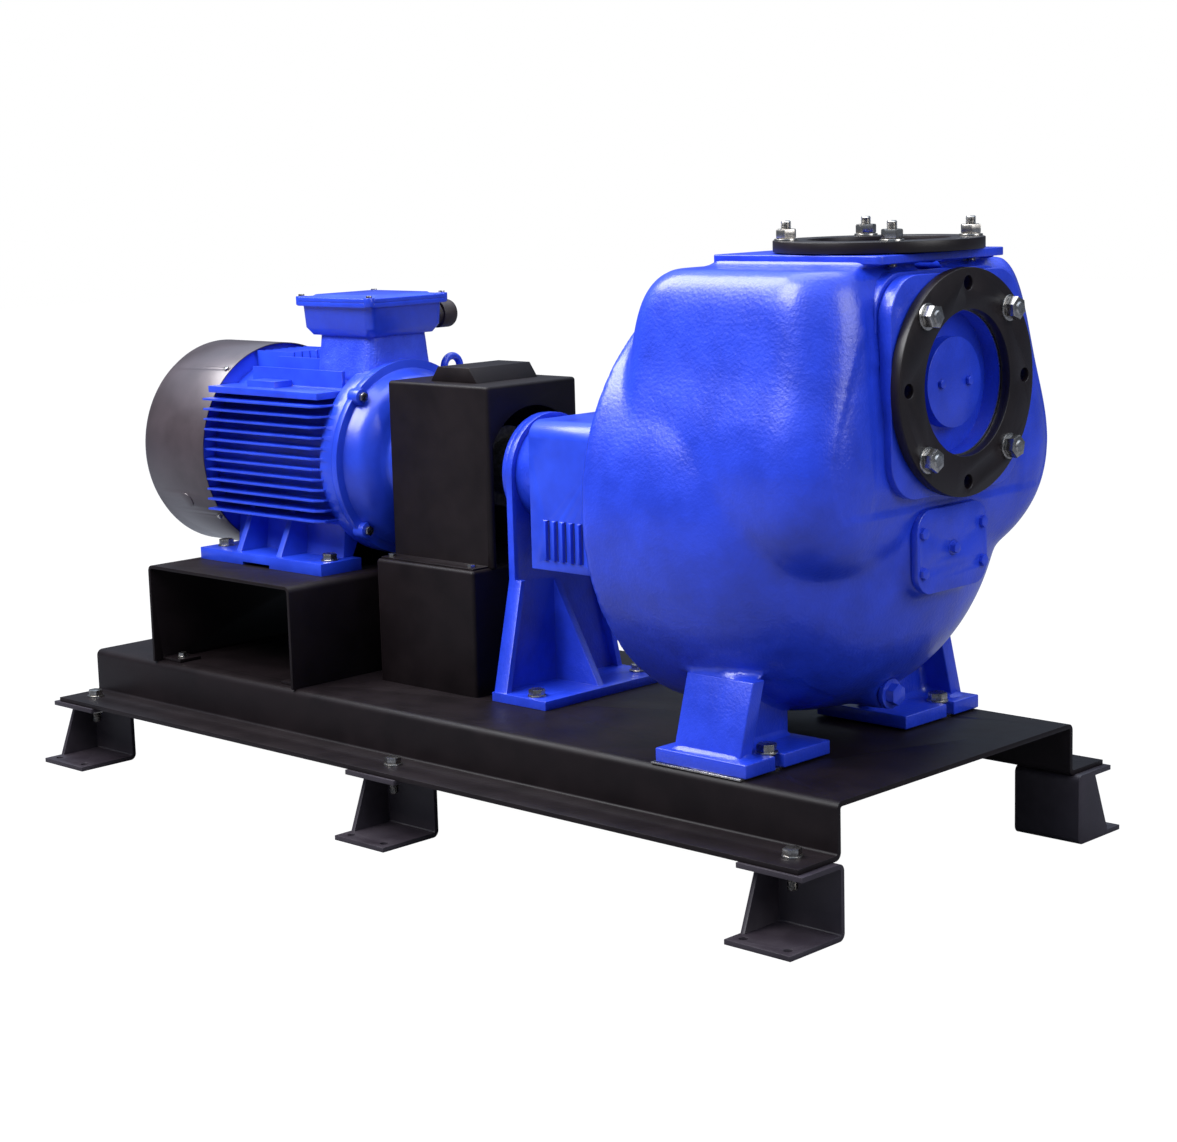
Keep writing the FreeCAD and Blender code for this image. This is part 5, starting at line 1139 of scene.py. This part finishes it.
@dataclass
class Studio:
    """The plain floor, the lamps and the camera.

    The camera's place and its right, up and forward directions were worked out from the photograph.
    """

    lens: float = 73.107
    eye: tuple[float, float, float] = (2.972392, -2.933862, 1.116940)
    right: tuple[float, float, float] = (0.721482, 0.691911, -0.026868)
    up: tuple[float, float, float] = (-0.097596, 0.140028, 0.985326)
    ahead: tuple[float, float, float] = (-0.685520, 0.708273, -0.168556)
    lamps: tuple[Softbox, ...] = (Softbox("key_softbox", (-0.7, -3.1, 3.9), (0.2, 0.0, 0.6), 2.2, 232.0),
                                  Softbox("front_softbox", (4.6, 0.3, 2.6), (0.6, 0.0, 0.6), 2.2, 75.0),
                                  Softbox("top_softbox", (0.2, 0.3, 3.8), (0.1, 0.0, 0.5), 2.6, 62.0),
                                  Softbox("rim_softbox", (-1.6, -0.9, 3.1), (0.5, -0.2, 0.9), 1.6, 85.0))
    floor_size: float = 30.0
    floor_white: float = 0.84
    floor_glow: float = 1.2
    sky_span: tuple[float, float] = (0.3, 0.9)
    sky_light: tuple[float, float] = (0.15, 2.0)

    def build(self) -> None:
        """Set up floor, world, lamps and camera."""
        bpy.context.scene.view_settings.view_transform = "Standard"
        self.add_floor()
        self.add_world()
        for lamp in self.lamps:
            lamp.hang()
        self.add_camera()

    def add_floor(self) -> None:
        """Lay a floor that the camera sees nearly white and that keeps the soft shadow under the set."""
        clear_selection()
        bpy.ops.mesh.primitive_plane_add(size=self.floor_size, location=(0.0, 0.0, 0.0))
        floor = bpy.context.object
        floor.name = "studio_floor"
        material, tree = blank_material("pale_floor")
        seen = add_node(tree, "ShaderNodeLightPath").outputs["Is Camera Ray"]
        matt = add_node(tree, "ShaderNodeBsdfDiffuse", {"Color": linear("#7C7C80")}).outputs["BSDF"]
        glow = add_node(tree, "ShaderNodeEmission", {"Color": linear("#FFFFFF"),
                                                     "Strength": self.floor_glow}).outputs[0]
        share = add_node(tree, "ShaderNodeMath", {0: seen, 1: self.floor_white},
                         operation="MULTIPLY").outputs[0]
        mixed = add_node(tree, "ShaderNodeMixShader", {0: share, 1: matt, 2: glow}).outputs[0]
        add_node(tree, "ShaderNodeOutputMaterial", {"Surface": mixed})
        floor.data.materials.append(material)

    def add_world(self) -> None:
        """Fill the room with light that grows towards the zenith, and show white behind the set."""
        world = bpy.data.worlds.new("studio_room")
        bpy.context.scene.world = world
        world.use_nodes = True
        tree = world.node_tree
        tree.nodes.clear()
        seen = add_node(tree, "ShaderNodeLightPath").outputs["Is Camera Ray"]
        facing = add_node(tree, "ShaderNodeTexCoord").outputs["Generated"]
        height = add_node(tree, "ShaderNodeSeparateXYZ", {"Vector": facing}).outputs["Z"]
        sky = remap(tree, height, self.sky_span, self.sky_light)
        room, white = (add_node(tree, "ShaderNodeBackground", {"Color": linear(colour),
                                                               "Strength": power}).outputs[0]
                       for colour, power in (("#C9DAF2", sky), ("#FFFFFF", 1.0)))
        mixed = add_node(tree, "ShaderNodeMixShader", {0: seen, 1: room, 2: white}).outputs[0]
        add_node(tree, "ShaderNodeOutputWorld", {"Surface": mixed})

    def add_camera(self) -> None:
        """Place the camera where the photograph was taken from."""
        lens = bpy.data.cameras.new("photo_camera")
        lens.lens = self.lens
        lens.sensor_width = 36.0
        lens.sensor_fit = "HORIZONTAL"
        lens.clip_end = 100.0
        camera = bpy.data.objects.new("photo_camera", lens)
        bpy.context.scene.collection.objects.link(camera)
        turn = Matrix((self.right, self.up, tuple(-v for v in self.ahead))).transposed().to_4x4()
        camera.matrix_world = Matrix.Translation(self.eye) @ turn
        bpy.context.scene.camera = camera


@dataclass
class PumpSet:
    """The whole set: which node takes which finish, and which pieces are built anew."""

    rack: FinishRack = field(default_factory=FinishRack)
    black_plate: tuple[str, ...] = ("base_frame", "motor_riser", "guard_stand", "coupling_guard", "guard_cap")
    feet: tuple[str, ...] = tuple(f"foot_bracket_{side}_{place}" for side in ("right", "left")
                                  for place in ("rear", "middle", "front"))
    blue_fine: tuple[str, ...] = ("motor_frame", "drive_end_shield", "terminal_box", "terminal_box_lid",
                                  "shaft_cover", "lifting_eye")
    blue_cast: tuple[str, ...] = ("bearing_frame", "bearing_cap", "pedestal", "inspection_cover",
                                  "check_valve_flap")
    zinc: tuple[str, ...] = ("motor_screws", "bearing_frame_screws", "pump_foot_shims")
    hardware: tuple[Hardware, ...] = (
        Hardware("foot_bracket_bolts"), Hardware("motor_foot_bolts"), Hardware("deck_bolts"),
        Hardware("guard_screws", washered=False),
        Hardware("inspection_cover_screws", Axis.FRONT, washered=False, finish=CAST_ENAMEL),
        FlangeStuds(), FlangeNuts())
    steel: tuple[str, ...] = ("motor_shaft", "pump_shaft", "motor_bearing_inner_rings", "bearing_outer_rings",
                              "pump_bearing_inner_rings", "rotor_core", "stator_core", "valve_hinge",
                              "seal_ring", "seal_seat", "impeller_nut")
    iron: tuple[str, ...] = ("motor_coupling_hub", "pump_coupling_hub", "seal_plate", "impeller",
                             "wear_plate")

    def body_of_node(self, node: str) -> str:
        """Return the CAD body that carries a node."""
        return bpy.data.objects[node]["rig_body"]

    def dress(self, nodes: Iterable[str], finish: Paint | Metal, edge_mm: float) -> None:
        """Replace nodes by rounded copies in one finish.

        Args:
            nodes: the CAD nodes.
            finish: the finish they take.
            edge_mm: how far their edges are rounded.
        """
        for node in nodes:
            piece = node_copy(node, f"{node}_dressed")
            soften(piece, edge_mm)
            self.rack.coat(piece, finish)
            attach(piece, self.body_of_node(node))
            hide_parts(node)
            log.info("dressed %s", node)

    def paint(self, nodes: Iterable[str], finish: Paint | Metal) -> None:
        """Give CAD nodes that keep their own mesh a finish."""
        for node in nodes:
            self.rack.coat(bpy.data.objects[node], finish)

    def build(self) -> None:
        """Build every piece of the set."""
        self.dress(self.black_plate, BLACK_ENAMEL, 0.8)
        self.dress(self.feet, FOOT_ENAMEL_PAINTED_PALER, 0.8)
        self.dress(("suction_flange", "discharge_flange"), RING_PAINT, 1.0)
        self.dress(self.blue_fine, SMOOTH_ENAMEL, 1.2)
        self.dress(self.blue_cast, CAST_ENAMEL, 2.5)
        self.dress(("fan_cowl",), COWL_PAINT, 0.6)
        self.dress(self.zinc, ZINC_PLATE, 0.4)
        for group in self.hardware:
            group.build(self.rack, self.body_of_node(group.node))
        self.dress(("pipe_plugs", "flap_screws"), CAST_ENAMEL, 1.0)
        self.dress(("cable_gland",), MOULDED_BLACK, 1.0)
        self.dress(self.steel + ("cooling_fan",), TURNED_STEEL, 0.0)
        self.paint(self.iron, GREY_IRON)
        self.paint(("rear_end_shield",), SMOOTH_ENAMEL)
        self.paint(("coupling_spider", "flange_gaskets"), RUBBER)
        self.paint(("stator_windings",), WINDING)
        CastCasing().build(self.rack)
        CasingEdges().build(self.rack)
        TerminalNeck().build(self.rack)
        ShieldBowl().build(self.rack)


def main() -> None:
    """Build the scene in order: the CAD model, the set's pieces, then the studio."""
    logging.basicConfig(level=logging.INFO, format="%(message)s")
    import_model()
    PumpSet().build()
    Studio().build()


if __name__ == "__main__":
    main()
